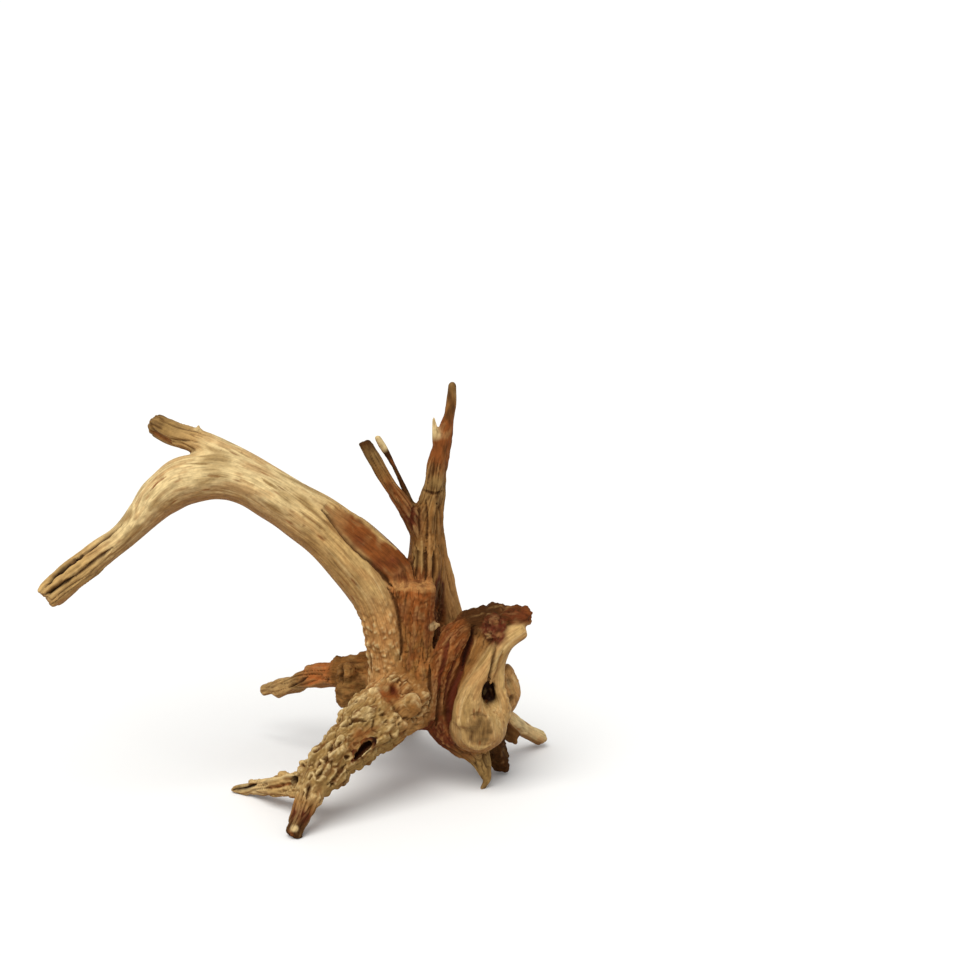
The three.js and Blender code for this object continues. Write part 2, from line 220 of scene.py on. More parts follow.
rear_strand = Limb(
    [
        (68, 11, 130, 6), (71, 13, 114, 5.5), (75, 15, 97, 4.8), (79.5, 16.5, 78, 5.2), (83, 17, 60, 7.6),
        (93, 17.5, 37, 8.5), (104, 24, 23.5, 5.8), (114, 36, 13, 4.6), (124, 46, 3.6, 4.2),
    ],
    [
        (0, "brown", "fluted"), (0.12, "worn", "fluted"), (0.5, "worn", "silky"), (0.72, "ochre", "silky"),
        (0.82, "pale", "silky"), (1, "pale", "fluted"),
    ],
    tip=0.1, tip_shrink=0.95, jag=0.8,
)
print("the stem reaches up to", stem.stations[-1][2], "mm")

# %% Draw the leg, its toes and the roots behind
leg = Limb(
    [
        (58, -6, 50, 16), (48, -18, 46, 16.3), (37.5, -32, 41, 14.8), (26.8, -45, 35, 12),
        (17, -56, 27.5, 10.2), (10.2, -63, 21, 8),
    ],
    [(0, "brown", "wormy"), (0.2, "worn", "pitted"), (0.45, "drab", "pitted"), (1, "drab", "pitted")],
    reference=UP, ribs=5, rib_depth=0.06, lump=1.7, lump_size=3.2, sides=48,
)
front_toe = Limb(
    [(11, -62, 22, 8), (6, -70, 14, 6), (3, -75, 7, 4.8), (0, -78, 0.5, 4.2)],
    [
        (0, "drab", "pitted"), (0.3, "tan", "pitted"), (0.45, "brown", "fluted"), (0.6, "plum", "fluted"),
        (0.8, "umber", "fluted"), (1, "umber", "rough"),
    ],
    reference=UP, ribs=4, rib_depth=0.1, lump=0.8, lump_size=4, tip=0.2,
)
left_toe = Limb(
    [
        (12, -56, 22, 8), (-2, -44, 14, 5.8), (-16, -31, 8, 4.2), (-26, -22, 3, 3.2),
        (-34, -19, 1.2, 2.2),
    ],
    [
        (0, "drab", "pitted"), (0.25, "ochre", "pitted"), (0.45, "ochre", "fluted"),
        (0.8, "pale", "fluted"), (1, "drab", "fluted"),
    ],
    reference=UP, ribs=3, rib_depth=0.14, lump=1, lump_size=4,
)
left_root = Limb(
    [
        (44, 7, 55, 12), (28, 14, 53, 8.4), (13, 24, 47.3, 6.3), (1, 35, 41.3, 5.2), (-10, 45, 33.3, 4.6),
        (-22.5, 55, 27.3, 3.4),
    ],
    [
        (0, "brown", "flaky"), (0.3, "brown", "rough"), (0.38, "red", "fluted"), (0.5, "red", "fluted"),
        (0.62, "brown", "fluted"), (0.74, "tan", "fluted"), (1, "tan", "fluted"),
    ],
    reference=UP, ribs=4, rib_depth=0.13, lump=1.2, lump_size=4.5,
)
rear_root = Limb(
    [(55, 8, 46, 14), (52, 32, 36, 11), (49, 54, 20, 8), (53, 72, 6, 5.6), (55, 79, 1, 4)],
    [(0, "bark", "flaky"), (0.4, "bark", "flaky"), (0.6, "brown", "fluted"), (1, "tan", "fluted")],
    reference=UP, lump=1, tip=0.4,
)
print("the leg is", 2 * leg.stations[1][3], "mm thick at its thickest")

# %% Draw the burl
burl_bark = Limb(
    [
        (66, -6, 41, 12), (71, -8, 59, 10), (78, -8, 75, 9.3), (87, -6, 84, 8), (96, -4, 86.5, 7.5),
        (105, -5, 88, 6.6), (112, -6, 89.5, 5.4), (117.5, -6.5, 90, 4.6),
    ],
    [
        (0, "plum", "flaky"), (0.14, "plum", "flaky"), (0.28, "bark", "flaky"), (0.55, "bark", "flaky"),
        (0.62, "umber", "rough"), (0.8, "umber", "rough"), (1, "bark", "rough"),
    ],
    ribs=4, rib_depth=0.1, lump=1.2, lump_size=4.5, tip=0.1, jag=1.4,
)
burl_pale = Limb(
    [
        (113, -9, 84, 4.6), (105, -13.5, 79, 4.8), (97.5, -17.5, 69, 5), (90.5, -20, 58, 6),
        (87, -20, 48, 8), (87, -20, 38, 10),
    ],
    [(0, "ochre", "silky"), (0.2, "tan", "silky"), (0.6, "tan", "silky"), (1, "tan", "silky")],
    lump=0.5,
)
burl_core = Limb(
    [(76, -5, 44, 12), (83, -6.5, 57, 10.5), (90, -8, 69, 8.6), (95, -8, 80, 7)],
    [(0, "brown", "silky"), (0.5, "brown", "silky"), (1, "brown", "fluted")],
    lump=0.4, lump_size=4,
)
burl_right = Limb(
    [
        (107, -11, 81, 4.2), (103.5, -14, 74, 3.6), (101.5, -15.5, 66, 3.1), (101.5, -16, 56, 3),
        (103.5, -15.5, 47, 3.8), (102, -13, 38, 7),
    ],
    [(0, "ochre", "silky"), (0.8, "ochre", "silky"), (1, "tan", "silky")],
    lump=0.3,
)
burl_strip = Limb(
    [(70, -6, 40, 10), (77, -6, 27, 8.5), (87, -7, 18, 6)],
    [(0, "plum", "flaky"), (0.6, "plum", "flaky"), (0.9, "brown", "fluted"), (1, "brown", "fluted")],
    lump=1.2, lump_size=4,
)
spike = Limb(
    [(89, -8, 20, 7.2), (93.5, -11, 11, 4.3), (95, -13, 4, 2.2), (92.5, -14, -1, 1.8)],
    [(0, "bark", "fluted"), (0.3, "drab", "fluted"), (0.75, "drab", "fluted"), (1, "umber", "fluted")],
    ribs=4, rib_depth=0.12, lump=0.7, lump_size=3, tip=0.3,
)
stub = Limb(
    [(94, -4, 32, 8), (98, 1, 21, 6.5), (101, 5, 11, 5.2), (103, 8, 2, 4.4)],
    [(0, "plum", "flaky"), (0.4, "umber", "rough"), (1, "umber", "rough")],
    ribs=4, rib_depth=0.14, lump=1, lump_size=4, tip=0.1, jag=1,
)
splinter_low = Limb(
    [(104, -2, 27, 4), (108, -2.5, 22.5, 2.6), (111, -3, 18.5, 0.8)],
    [(0, "umber", "rough"), (0.6, "brown", "rough"), (1, "umber", "rough")],
    lump=0.8, lump_size=3, sides=16,
)
splinter_high = Limb(
    [(104, -1, 30, 4), (109, -2, 26.5, 2.2), (112.5, -2, 24, 0.8)],
    [(0, "plum", "rough"), (0.6, "brown", "rough"), (1, "umber", "rough")],
    lump=0.8, lump_size=3, sides=16,
)
limbs = [
    arch_front, arch_rear, column, column_web, stem, stem_rib, stem_ridge, splinter, left_prong, twig,
    rear_strand, leg, front_toe, left_toe, left_root, rear_root, burl_bark, burl_pale, burl_core,
    burl_right, burl_strip, spike, stub, splinter_low, splinter_high,
]
print(len(limbs), "limbs")

# %% Draw the rounded lumps and the hollows
# Each lump has a place, three radii, and how far its surface waves
KNOBS = [
    # The middle of the crown
    ((58, -3, 49), (22, 17, 20), 1.8),
    # The knot, and the knobs where the leg begins
    ((57.2, -24, 51.5), (6.4, 9.4, 6), 0.2),
    ((50, -33, 46), (6, 6.5, 6), 0.8),
    ((40, -30, 54), (6, 6, 5), 0.8),
    ((29, -36, 47), (6, 5, 5), 0.8),
    # The small pale knob beside the column
    ((68.6, -9, 86.5), (3.4, 3.4, 2.4), 0.2),
    # The lump behind the foot of the arch
    ((27, 8, 46), (9, 9, 13), 1.8),
    ((24, 3, 57), (5, 5, 5), 0.8),
    # The spur on the arch
    ((-48, 1, 187), (1.6, 1.2, 2.2), 0),
    # The knobs of the left toe and of the left root
    ((4.8, -48, 26.8), (3, 3, 3), 0.3),
    ((-6.5, -38.5, 17), (3, 2.6, 2.8), 0.3),
    ((-22, -26, 8.6), (3.6, 2.6, 2.6), 0.3),
    ((4, 30, 46), (4, 4, 5), 0.5),
    ((-13, 46, 30), (3, 3, 3.6), 0.4),
    # The burl's broken end
    ((99, -11, 86.3), (6.8, 6.5, 7.8), 1.0),
    # The wood between the stem and the rear strand
    ((73.5, 15, 88), (5, 4.5, 20), 0.5),
    # The burl's bulb, the lump behind it, its middle, and the wall behind its hole
    ((91, -16, 35), (14.5, 12, 14), 0.6),
    ((105, -3, 50), (7, 8, 13), 1.2),
    ((92, -4, 42), (14, 13, 18), 0.5),
    ((96.5, -8, 59), (7, 6, 12), 0.6),
]
HOLLOWS = [
    # The pit beside the left toe
    ((-0.5, -52.5, 19), (3, 3.6, 2.3), 0.3),
]
SLOTS = [
    # The burl's hole
    Limb(
        [(95.4, -21, 62, 0.9), (94.9, -21, 57.5, 2.4), (95.8, -21, 52.5, 3.2), (97.8, -21, 47.6, 2.3)],
        [], depth=2.5, lump=0.2, tip=0.6,
    ),
    # The slot beside the column, above and below the pale knob
    Limb(
        [(72.4, -1, 109, 0.7), (72, -1, 101, 1.8), (71.4, -2, 93, 2.8), (70.8, -2, 87.5, 2.4)],
        [], depth=3.6, lump=0.3,
    ),
    Limb([(70.2, -3, 84, 2.2), (69.4, -5, 77, 2.6), (68.4, -8, 68, 1)], [], depth=3.6, lump=0.3),
    # The slit of the leg
    Limb(
        [(29.5, -57.5, 33, 0.6), (32.3, -54.5, 35, 1.6), (35.8, -51, 37.8, 1.7), (39, -48.5, 40, 0.6)],
        [], lump=0.3, lump_size=3, depth=1.8,
    ),
]
KNOB_LUMP_SIZE = 4.0
print(len(KNOBS), "lumps and", len(HOLLOWS) + len(SLOTS), "hollows")

# %% [markdown]
# From stations to a surface
#
# A limb's stations are joined by a smooth curve (a Catmull-Rom spline: it passes through every
# station), and a tube is swept along it. In edit mode this would be a cylinder with loop cuts whose
# rings are moved one by one, and that is what the helper does: bmesh makes the cylinder, subdivides
# its long edges into rings, pokes its two ends, and each ring is then moved to its place. Waves
# round the tube make the flutes of the grain, and a slow three-dimensional wave the lumps.

# %% Helpers for curves and directions
TANGENT_STEP = 0.002
LENGTH_SAMPLES = 80


def unit(vectors):
    return vectors / np.linalg.norm(vectors, axis=-1, keepdims=True)


def spline(rows, along):
    """The smooth curve through the rows, at shares of its way from 0 to 1."""
    rows = np.asarray(rows, float)
    padded = np.vstack([2 * rows[0] - rows[1], rows, 2 * rows[-1] - rows[-2]])
    place = np.clip(along, 0, 1) * (len(rows) - 1)
    start = np.minimum(place.astype(int), len(rows) - 2)
    t = (place - start)[:, None]
    before, here, after, beyond = (padded[start + step] for step in range(4))
    leave = (after - before) / 2
    arrive = (beyond - here) / 2
    shape_here = 2 * t**3 - 3 * t**2 + 1
    return (
        shape_here * here + (1 - shape_here) * after
        + (t**3 - 2 * t**2 + t) * leave + (t**3 - t**2) * arrive
    )


def course(limb, along):
    """Centres, radii and the three directions of a limb at shares of its way, in millimetres."""
    rows = spline(limb.stations, along)
    ahead = spline(limb.stations, along + TANGENT_STEP) - spline(limb.stations, along - TANGENT_STEP)
    tangent = unit(ahead[:, :3])
    side = unit(np.cross(tangent, limb.reference))
    rear = np.cross(side, tangent)
    return rows[:, :3], rows[:, 3], tangent, side, rear


def lumpiness(points, size):
    """Slow waves through space, from -1 to 1."""
    x, y, z = points[:, 0] / size, points[:, 1] / size, points[:, 2] / size
    across = np.sin(1.7 * x + 2 * np.sin(z))
    deep = np.sin(1.9 * y + 1.3 * np.sin(x) + 2)
    high = np.sin(1.4 * z + 1.7 * np.sin(y) + 4)
    return (across + deep + high) / 3


def limb_length(limb):
    centres = course(limb, np.linspace(0, 1, LENGTH_SAMPLES))[0]
    return float(np.linalg.norm(np.diff(centres, axis=0), axis=1).sum())


print("the arch is", round(limb_length(arch_front)), "mm long along its curve")

# %% Sweep the limbs and swell the lumps
RING_SPACING = 1.5
LEAST_RINGS = 8
KNOB_DETAIL = 5


def place_vertices(bm, points):
    """Moves the vertices to these places, given in millimetres."""
    for vertex, point in zip(bm.verts, points):
        vertex.co = Vector(point) * MM


def sweep(limb):
    """A closed tube along a limb."""
    bm = bmesh.new()
    bmesh.ops.create_cone(
        bm, cap_ends=True, cap_tris=False, segments=limb.sides, radius1=1, radius2=1, depth=1
    )
    long_edges = [edge for edge in bm.edges if abs(edge.verts[0].co.z - edge.verts[1].co.z) > 0.5]
    steps = max(LEAST_RINGS, round(limb_length(limb) / RING_SPACING))
    bmesh.ops.subdivide_edges(bm, edges=long_edges, cuts=steps - 1)
    ends = [face for face in bm.faces if len(face.verts) == limb.sides]
    bmesh.ops.poke(bm, faces=ends)
    ring = np.array([vertex.co for vertex in bm.verts])
    along = np.clip(ring[:, 2] + 0.5, 0, 1)
    out = np.minimum(1, np.hypot(ring[:, 0], ring[:, 1]))
    angle = np.arctan2(ring[:, 0], ring[:, 1])
    centres, radii, tangent, side, rear = course(limb, along)
    flutes = 1 + limb.rib_depth * np.cos(limb.ribs * angle + along * np.pi)
    shrink = np.where(along > 1 - 0.5 / steps, limb.tip_shrink, 1)
    outward = side * np.sin(angle)[:, None] + rear * (limb.depth * np.cos(angle))[:, None]
    points = centres + outward * (radii * flutes * shrink * out)[:, None]
    points += outward * (limb.lump * lumpiness(points, limb.lump_size) * out)[:, None]
    middle = out < 0.5
    bulge = np.where(middle, np.where(along > 0.5, limb.tip, -0.5) * radii, 0)
    ragged = np.where(~middle & (along == 1), limb.jag * np.sin(3 * angle + 1), 0)
    points += tangent * (bulge + ragged)[:, None]
    place_vertices(bm, points)
    return bm


def swell(place, radii, lump):
    """A closed rounded lump."""
    bm = bmesh.new()
    bmesh.ops.create_icosphere(bm, subdivisions=KNOB_DETAIL, radius=1)
    outward = unit(np.array([vertex.co for vertex in bm.verts]))
    points = np.array(place) + outward * np.array(radii)
    points += outward * (lump * lumpiness(points, KNOB_LUMP_SIZE))[:, None]
    place_vertices(bm, points)
    return bm


print("one ring of points every", RING_SPACING, "mm along a limb")

# %% Gather the shapes
def gather(name, parts):
    """One object from several closed shapes that may pass through each other."""
    whole = bmesh.new()
    mesh = bpy.data.meshes.new(name)
    for part in parts:
        bmesh.ops.recalc_face_normals(part, faces=part.faces)
        part.to_mesh(mesh)
        whole.from_mesh(mesh)
        part.free()
    whole.to_mesh(mesh)
    whole.free()
    shape = bpy.data.objects.new(name, mesh)
    bpy.context.scene.collection.objects.link(shape)
    return shape


wood = gather("wood", [sweep(limb) for limb in limbs] + [swell(*knob) for knob in KNOBS])
hollows = gather("hollows", [swell(*hollow) for hollow in HOLLOWS] + [sweep(slot) for slot in SLOTS])
print(len(wood.data.polygons), "faces before the shapes are fused")

# %% [markdown]
# Fusing the limbs
#
# Two dozen tubes that pass through each other aren't wood yet. A voxel remesh fuses them: it fills
# space with small cubes and wraps one even skin round everything that is inside. A boolean union
# would keep the tubes' long faces, and the even skin is what the carving of the next steps needs.

# %% Fuse the limbs
ROUGH_VOXEL = 0.8 * MM
HOLLOW_VOXEL = 0.5 * MM
FINE_VOXEL = 0.56 * MM


def apply_modifiers(shape):
    """The object's mesh as its modifiers leave it."""
    graph = bpy.context.evaluated_depsgraph_get()
    finished = bpy.data.meshes.new_from_object(shape.evaluated_get(graph))
    shape.modifiers.clear()
    shape.data = finished


def remesh(shape, size):
    skin = shape.modifiers.new("skin", "REMESH")
    skin.mode = "VOXEL"
    skin.voxel_size = size
    apply_modifiers(shape)


remesh(wood, ROUGH_VOXEL)
remesh(hollows, HOLLOW_VOXEL)
print(len(wood.data.polygons), "faces after the first remesh")

# %% [markdown]
# Softening the joints
#
# Where two limbs have grown together the wood flows from one to the other, but the fused tubes meet
# in a sharp valley. Smoothing everything would thin the twigs, so only the valleys are filled: a
# copy of the skin is smoothed a lot, and a point follows it only where that takes it outwards. A few
# narrow places stay open, because the real wood has a slot or a groove there.
#
# This and the carving move every point of a dense skin, which is quick when the points are held as
# one array of numbers. The work below is what a sculptor does with a brush, written down.

# %% Read and smooth a skin
def read_points(mesh):
    values = np.empty(len(mesh.vertices) * 3, np.float32)
    mesh.vertices.foreach_get("co", values)
    return values.reshape(-1, 3).astype(float) / MM


def write_points(mesh, points):
    mesh.vertices.foreach_set("co", (points * MM).astype(np.float32).ravel())
    mesh.update()


def read_normals(mesh):
    values = np.empty(len(mesh.vertices) * 3, np.float32)
    mesh.vertex_normals.foreach_get("vector", values)
    return values.reshape(-1, 3).astype(float)


def neighbours_of(mesh):
    """Both ends of every edge, each way round, and how many neighbours each point has."""
    ends = np.empty(len(mesh.edges) * 2, np.int32)
    mesh.edges.foreach_get("vertices", ends)
    first, second = ends.reshape(-1, 2).T
    here = np.concatenate([first, second])
    there = np.concatenate([second, first])
    return here, there, np.bincount(here)


def smoothed(values, rounds, around):
    """Every round takes each point halfway to the mean of its neighbours."""
    here, there, count = around
    for _ in range(rounds):
        mean = [np.bincount(here, weights=column[there]) / count for column in values.T]
        values = (values + np.stack(mean, axis=1)) / 2
    return values


def ease(low, high, values):
    """From 0 to 1 with a soft start and end, as values go from low to high."""
    share = np.clip((values - low) / (high - low), 0, 1)
    return share * share * (3 - 2 * share)


def patch(points, place, radii, soft=0.55, ragged=0.0):
    """1 inside a rounded region, fading to 0 at its edge, which a wave can make ragged."""
    distance = np.linalg.norm((points - np.array(place)) / np.array(radii), axis=1) + ragged
    return 1 - ease(1 - soft / 2, 1 + soft / 2, distance)


# %% Fill the valleys where limbs meet
FIRST_ROUNDS = 3
VALLEY_ROUNDS = 60
VALLEY_FILL = 0.85
OPEN_SHARE = 0.85
AFTER_ROUNDS = 2
KEPT_OPEN = [
    # The slot by the column, the burl's grooves, the stem's ribs, and the step on the arch
    ((70, -3, 88), (5, 14, 24)),
    ((99, -19, 66), (6, 8, 15)),
    ((63, 0, 113), (9, 8, 13)),
    ((33, -9, 123), (20, 8, 24)),
    # The burl's fissure, the fork of the prongs, the splinter, and the rim of the knot
    ((80, -17, 62), (5, 7, 18)),
    ((54, 9, 150), (10, 10, 15)),
    ((70, 7, 178), (6, 6, 13)),
    ((57, -28, 51.5), (11, 9, 10)),
]
around = neighbours_of(wood.data)
rough_skin = smoothed(read_points(wood.data), FIRST_ROUNDS, around)
write_points(wood.data, rough_skin)
normals = read_normals(wood.data)
rise = ((smoothed(rough_skin, VALLEY_ROUNDS, around) - rough_skin) * normals).sum(axis=1)
filling = VALLEY_FILL * np.clip(rise, 0, None)
for place, radii in KEPT_OPEN:
    filling *= 1 - OPEN_SHARE * patch(rough_skin, place, radii)
write_points(wood.data, smoothed(rough_skin + normals * filling[:, None], AFTER_ROUNDS, around))
print("deepest valley filled by", round(float(filling.max()), 1), "mm")

# %% Cut the hollows and grow the fine skin
FINE_ROUNDS = 2
cut = wood.modifiers.new("hollows", "BOOLEAN")
cut.operation = "DIFFERENCE"
cut.solver = "MANIFOLD"
cut.object = hollows
apply_modifiers(wood)
bpy.data.objects.remove(hollows)
remesh(wood, FINE_VOXEL)
around = neighbours_of(wood.data)
skin = smoothed(read_points(wood.data), FINE_ROUNDS, around)
write_points(wood.data, skin)
normals = read_normals(wood.data)
print(len(skin), "points and", len(wood.data.polygons), "faces in the fine skin")

# %% [markdown]
# Which limb a point belongs to
#
# Grain runs along a limb, so every point of the skin has to know its limb, how far along it lies,
# and where it would be if the limb were pulled straight. On a modelled object this would be the
# job of a UV map, but a UV map has seams, and they would show as broken grain. Here each point keeps
# a share of every limb near it, and patterns are mixed by those shares, so that grain from one limb
# fades into that of the next.

# %% Locate a point on a limb
SAMPLE_SPACING = 1.5
LEAST_SAMPLES = 6
BOX_SAMPLES = 40
REACH = 14.0
CHUNK = 40000


def locate(limb, points):
    """How far outside a limb each point lies, how far along, and its place in the straight limb."""
    samples = max(LEAST_SAMPLES, round(limb_length(limb) / SAMPLE_SPACING))
    centres, radii, tangent, side, rear = course(limb, np.linspace(0, 1, samples))
    arc = np.concatenate([[0], np.cumsum(np.linalg.norm(np.diff(centres, axis=0), axis=1))])
    nearest = np.empty(len(points), int)
    for start in range(0, len(points), CHUNK):
        block = points[start:start + CHUNK]
        squares = (block**2).sum(1)[:, None] + (centres**2).sum(1) - 2 * block @ centres.T
        nearest[start:start + CHUNK] = np.argmin(np.sqrt(np.maximum(squares, 0)) - radii, axis=1)
    offset = points - centres[nearest]
    ahead = (offset * tangent[nearest]).sum(1)
    across = (offset * side[nearest]).sum(1)
    behind = (offset * rear[nearest]).sum(1)
    past_end = np.where((nearest == samples - 1) & (ahead > 0), ahead, 0)
    before_start = np.where((nearest == 0) & (ahead < 0), -ahead, 0)
    outside = np.sqrt(across**2 + behind**2 + past_end**2 + before_start**2) - radii[nearest]
    length = arc[nearest] + ahead
    straight = np.stack([across, behind, length], axis=1)
    return outside, np.clip(length / arc[-1], 0, 1), straight, radii[nearest]


def near_box(limb, points):
    """The points close enough to a limb to belong to it."""
    centres, radii = course(limb, np.linspace(0, 1, BOX_SAMPLES))[:2]
    low = (centres - radii[:, None]).min(0) - REACH
    high = (centres + radii[:, None]).max(0) + REACH
    return np.flatnonzero(((points > low) & (points < high)).all(axis=1))


print("points near the leg:", len(near_box(leg, skin)))

# %% Share every point between its limbs
FAR_AWAY = 99.0
BLEND = 0.8
LEAST_SHARE = 0.03
LIMB_OFFSET = 41.0


@dataclass
class Holding:
    """The points that belong to a limb, and what each of them knows about it."""
    points: np.ndarray
    share: np.ndarray
    along: np.ndarray
    straight: np.ndarray
    radius: np.ndarray


outside_of = np.full((len(limbs), len(skin)), FAR_AWAY)
located = []
for number, limb in enumerate(limbs):
    chosen = near_box(limb, skin)
    outside, along, straight, radius = locate(limb, skin[chosen])
    outside_of[number, chosen] = outside
    located.append((chosen, along, straight + LIMB_OFFSET * number, radius))
nearness = np.exp(-(outside_of - outside_of.min(axis=0)) / BLEND)
nearness[nearness < LEAST_SHARE] = 0
shares = nearness / nearness.sum(axis=0)
holdings = []
for number, (chosen, along, straight, radius) in enumerate(located):
    kept = shares[number, chosen] > 0
    holdings.append(
        Holding(chosen[kept], shares[number, chosen[kept]], along[kept], straight[kept], radius[kept])
    )
del outside_of, nearness, located
print("points of the arch's front strand:", len(holdings[0].points))


# %% Mix what the limbs say at every point
def through_limbs(value_of):
    """The mean over a point's limbs of a value, worked out in each limb's own terms."""
    total = np.zeros(len(skin))
    for holding in holdings:
        if len(holding.points):
            total[holding.points] += holding.share * value_of(holding)
    return total


def from_stops(column):
    """The mean over a point's limbs of one number of their stops."""
    total = np.zeros(len(skin))
    for limb, holding in zip(limbs, holdings):
        places = [stop[0] for stop in limb.stops]
        values = [column(stop) for stop in limb.stops]
        total[holding.points] += holding.share * np.interp(holding.along, places, values)
    return total


def along_grain(size, seed):
    """A smooth random wave, stretched along every limb."""
    return through_limbs(lambda holding: noise(holding.straight, size, seed))


TEXTURES = ("silky", "fluted", "wormy", "pitted", "flaky", "rough")
texture_share = {name: from_stops(lambda stop: float(stop[2] == name)) for name in TEXTURES}
limb_radius = through_limbs(lambda holding: holding.radius)
for name in TEXTURES:
    print(name, round(float(texture_share[name].mean()), 2))

# %% [markdown]
# Patterns
#
# Every texture of the wood comes from two patterns. Noise is a smooth random wave, and stretched
# along the straight limb it becomes grain. Cells are the distances to scattered points, which make
# pits and bumps. Blender's texture nodes hold both, but a node can only pretend a height with
# shading, and the pits and flakes of this wood stand out against the light, so they are carved.

# %% Two tables of random numbers
TABLE_SIZE = 4096
DIRECTIONS = unit(np.random.default_rng(7).normal(size=(TABLE_SIZE, 3)))
SCATTER = np.random.default_rng(8).random((TABLE_SIZE, 3))


def table_place(cells, seed):
    """An even spread of table rows for whole-numbered places in space."""
    mixed = cells[:, 0] * 73856093 ^ cells[:, 1] * 19349663 ^ cells[:, 2] * 83492791 ^ seed * 2654435
    return (mixed ^ (mixed >> 13)) % TABLE_SIZE


print("a first direction:", DIRECTIONS[0].round(2))

# %% Noise
NOISE_GAIN = 1.7
CORNERS = list(itertools.product((0, 1), repeat=3))


def noise(points, size, seed):
    """A smooth random wave of about the given size, from -1 to 1."""
    scaled = points / np.asarray(size, float)
    cells = np.floor(scaled).astype(np.int64)
    inside = scaled - cells
    fade = inside**3 * (inside * (inside * 6 - 15) + 10)
    total = np.zeros(len(points))
    for corner in CORNERS:
        slope = DIRECTIONS[table_place(cells + corner, seed)]
        height = (slope * (inside - corner)).sum(axis=1)
        total += height * np.where(corner, fade, 1 - fade).prod(axis=1)
    return np.clip(total * NOISE_GAIN, -1, 1)


def valley(wave, width):
    """1 along the lines where a wave crosses zero, fading to 0 at the width on both sides."""
    return 1 - ease(0, width, np.abs(wave))


print("noise at the first points:", noise(skin[:4], 5, 1).round(2))

# %% Scattered cells
AROUND = list(itertools.product((-1, 0, 1), repeat=3))


def scattered_cells(points, size, seed):
    """Distances to the nearest and the next scattered point, and a random number for the nearest."""
    scaled = points / np.asarray(size, float)
    cells = np.floor(scaled).astype(np.int64)
    inside = scaled - cells
    nearest = np.full(len(points), FAR_AWAY)
    second = np.full(len(points), FAR_AWAY)
    chance = np.zeros(len(points))
    for offset in AROUND:
        row = SCATTER[table_place(cells + offset, seed)]
        distance = np.sqrt(((row + offset - inside) ** 2).sum(axis=1))
        closer = distance < nearest
        second = np.where(closer, nearest, np.minimum(second, distance))
        chance = np.where(closer, row[:, 0], chance)
        nearest = np.where(closer, distance, nearest)
    return nearest, second, chance


print("the first points are this far from a cell's middle:", scattered_cells(skin[:4], 5, 1)[0].round(2))

# %% [markdown]
# Six textures
#
# Worn limbs are silky: low waves along the grain. Dry limbs are fluted, with open grooves. The foot
# of the arch is wormy, where grubs have eaten under the bark. The leg is pitted. The middle still
# has flaky bark that breaks off in layers, and broken ends are rough. Each texture is a height in
# millimetres, and its share at a point comes from the stops of the limbs.

# %% Silky and fluted wood
def dashes(holding):
    """Short dark checks along the grain, 1 inside them."""
    middle, _, chance = scattered_cells(holding.straight, (2.8, 2.8, 13), 19)
    return (1 - ease(0.1, 0.3, middle)) * (chance > 0.6)


def silky(holding):
    grain = holding.straight
    return (
        0.26 * noise(grain, (4.5, 4.5, 46), 1) + 0.12 * noise(grain, (1.7, 1.7, 24), 2)
        - 0.2 * valley(noise(grain, (3.4, 3.4, 60), 3), 0.08) - 0.3 * dashes(holding)
    )


def fluted(holding):
    grain = holding.straight
    grooves = valley(noise(grain, (2.6, 2.6, 30), 4), 0.2)
    return (
        0.55 * noise(grain, (3.4, 3.4, 22), 5) - 0.9 * grooves
        + 0.3 * noise(grain, (1.6, 1.6, 6), 6)
    )


# %% Wormy and pitted wood
def wormy(holding):
    grain = holding.straight
    middle, _, chance = scattered_cells(grain + 0.8 * noise(grain, 4, 23)[:, None], (3, 3, 3.8), 7)
    bumps = (1 - ease(0.1, 0.75, middle)) * (0.5 + 0.5 * chance)
    return 1.15 * bumps + 0.5 * noise(grain, (5, 5, 7), 8) + 0.2 * noise(grain, 1.3, 9) - 0.5


def pits(holding):
    """A few deep holes, longer along the grain, 1 inside them."""
    grain = holding.straight
    middle, _, chance = scattered_cells(grain + 0.7 * noise(grain, 2, 26)[:, None], (3.6, 3.6, 6.5), 27)
    return (1 - ease(0.14, 0.34, middle)) * (chance > 0.52)


def pitted(holding):
    grain = holding.straight
    middle, second, chance = scattered_cells(grain + noise(grain, 5, 24)[:, None], (5, 5, 7), 22)
    lumps = (1 - ease(0.15, 0.8, middle)) * (0.3 + 0.9 * chance)
    creases = (1 - ease(0, 0.14, second - middle)) * ease(0.0, 0.5, noise(grain, 6, 25))
    folds = noise(grain, (2.6, 2.6, 5), 10)
    large = 1.5 * lumps - 1.3 * creases - 1.7 * pits(holding)
    return large + 0.75 * folds + 0.35 * noise(grain, 1.5, 11) - 0.5


# %% Flaky and rough wood
def bark_layers(holding):
    """How much old bark is left, from 0 where it has come off to 1 where it is thick."""
    grain = holding.straight
    wave = noise(grain, (4, 4, 11), 12) + 0.4 * noise(grain, (1.7, 1.7, 3.6), 13)
    return 0.5 * ease(-0.25, -0.15, wave) + 0.5 * ease(0.1, 0.2, wave)


def flaky(holding):
    grain = holding.straight
    fissures = valley(noise(grain, (3.4, 3.4, 18), 14), 0.12)
    return 0.9 * bark_layers(holding) - 0.6 * fissures + 0.3 * noise(grain, 1.6, 15) - 0.4


def rough(holding):
    grain = holding.straight
    splinters = np.abs(noise(grain, (2.4, 2.4, 4.5), 16))
    return 1.1 * noise(grain, 3.4, 17) + 1.1 * splinters + 0.4 * noise(grain, 1.4, 18) - 0.4


# %% Add up the heights
THIN = 5.0
LEAST_RELIEF = 0.3
CALM = 0.7
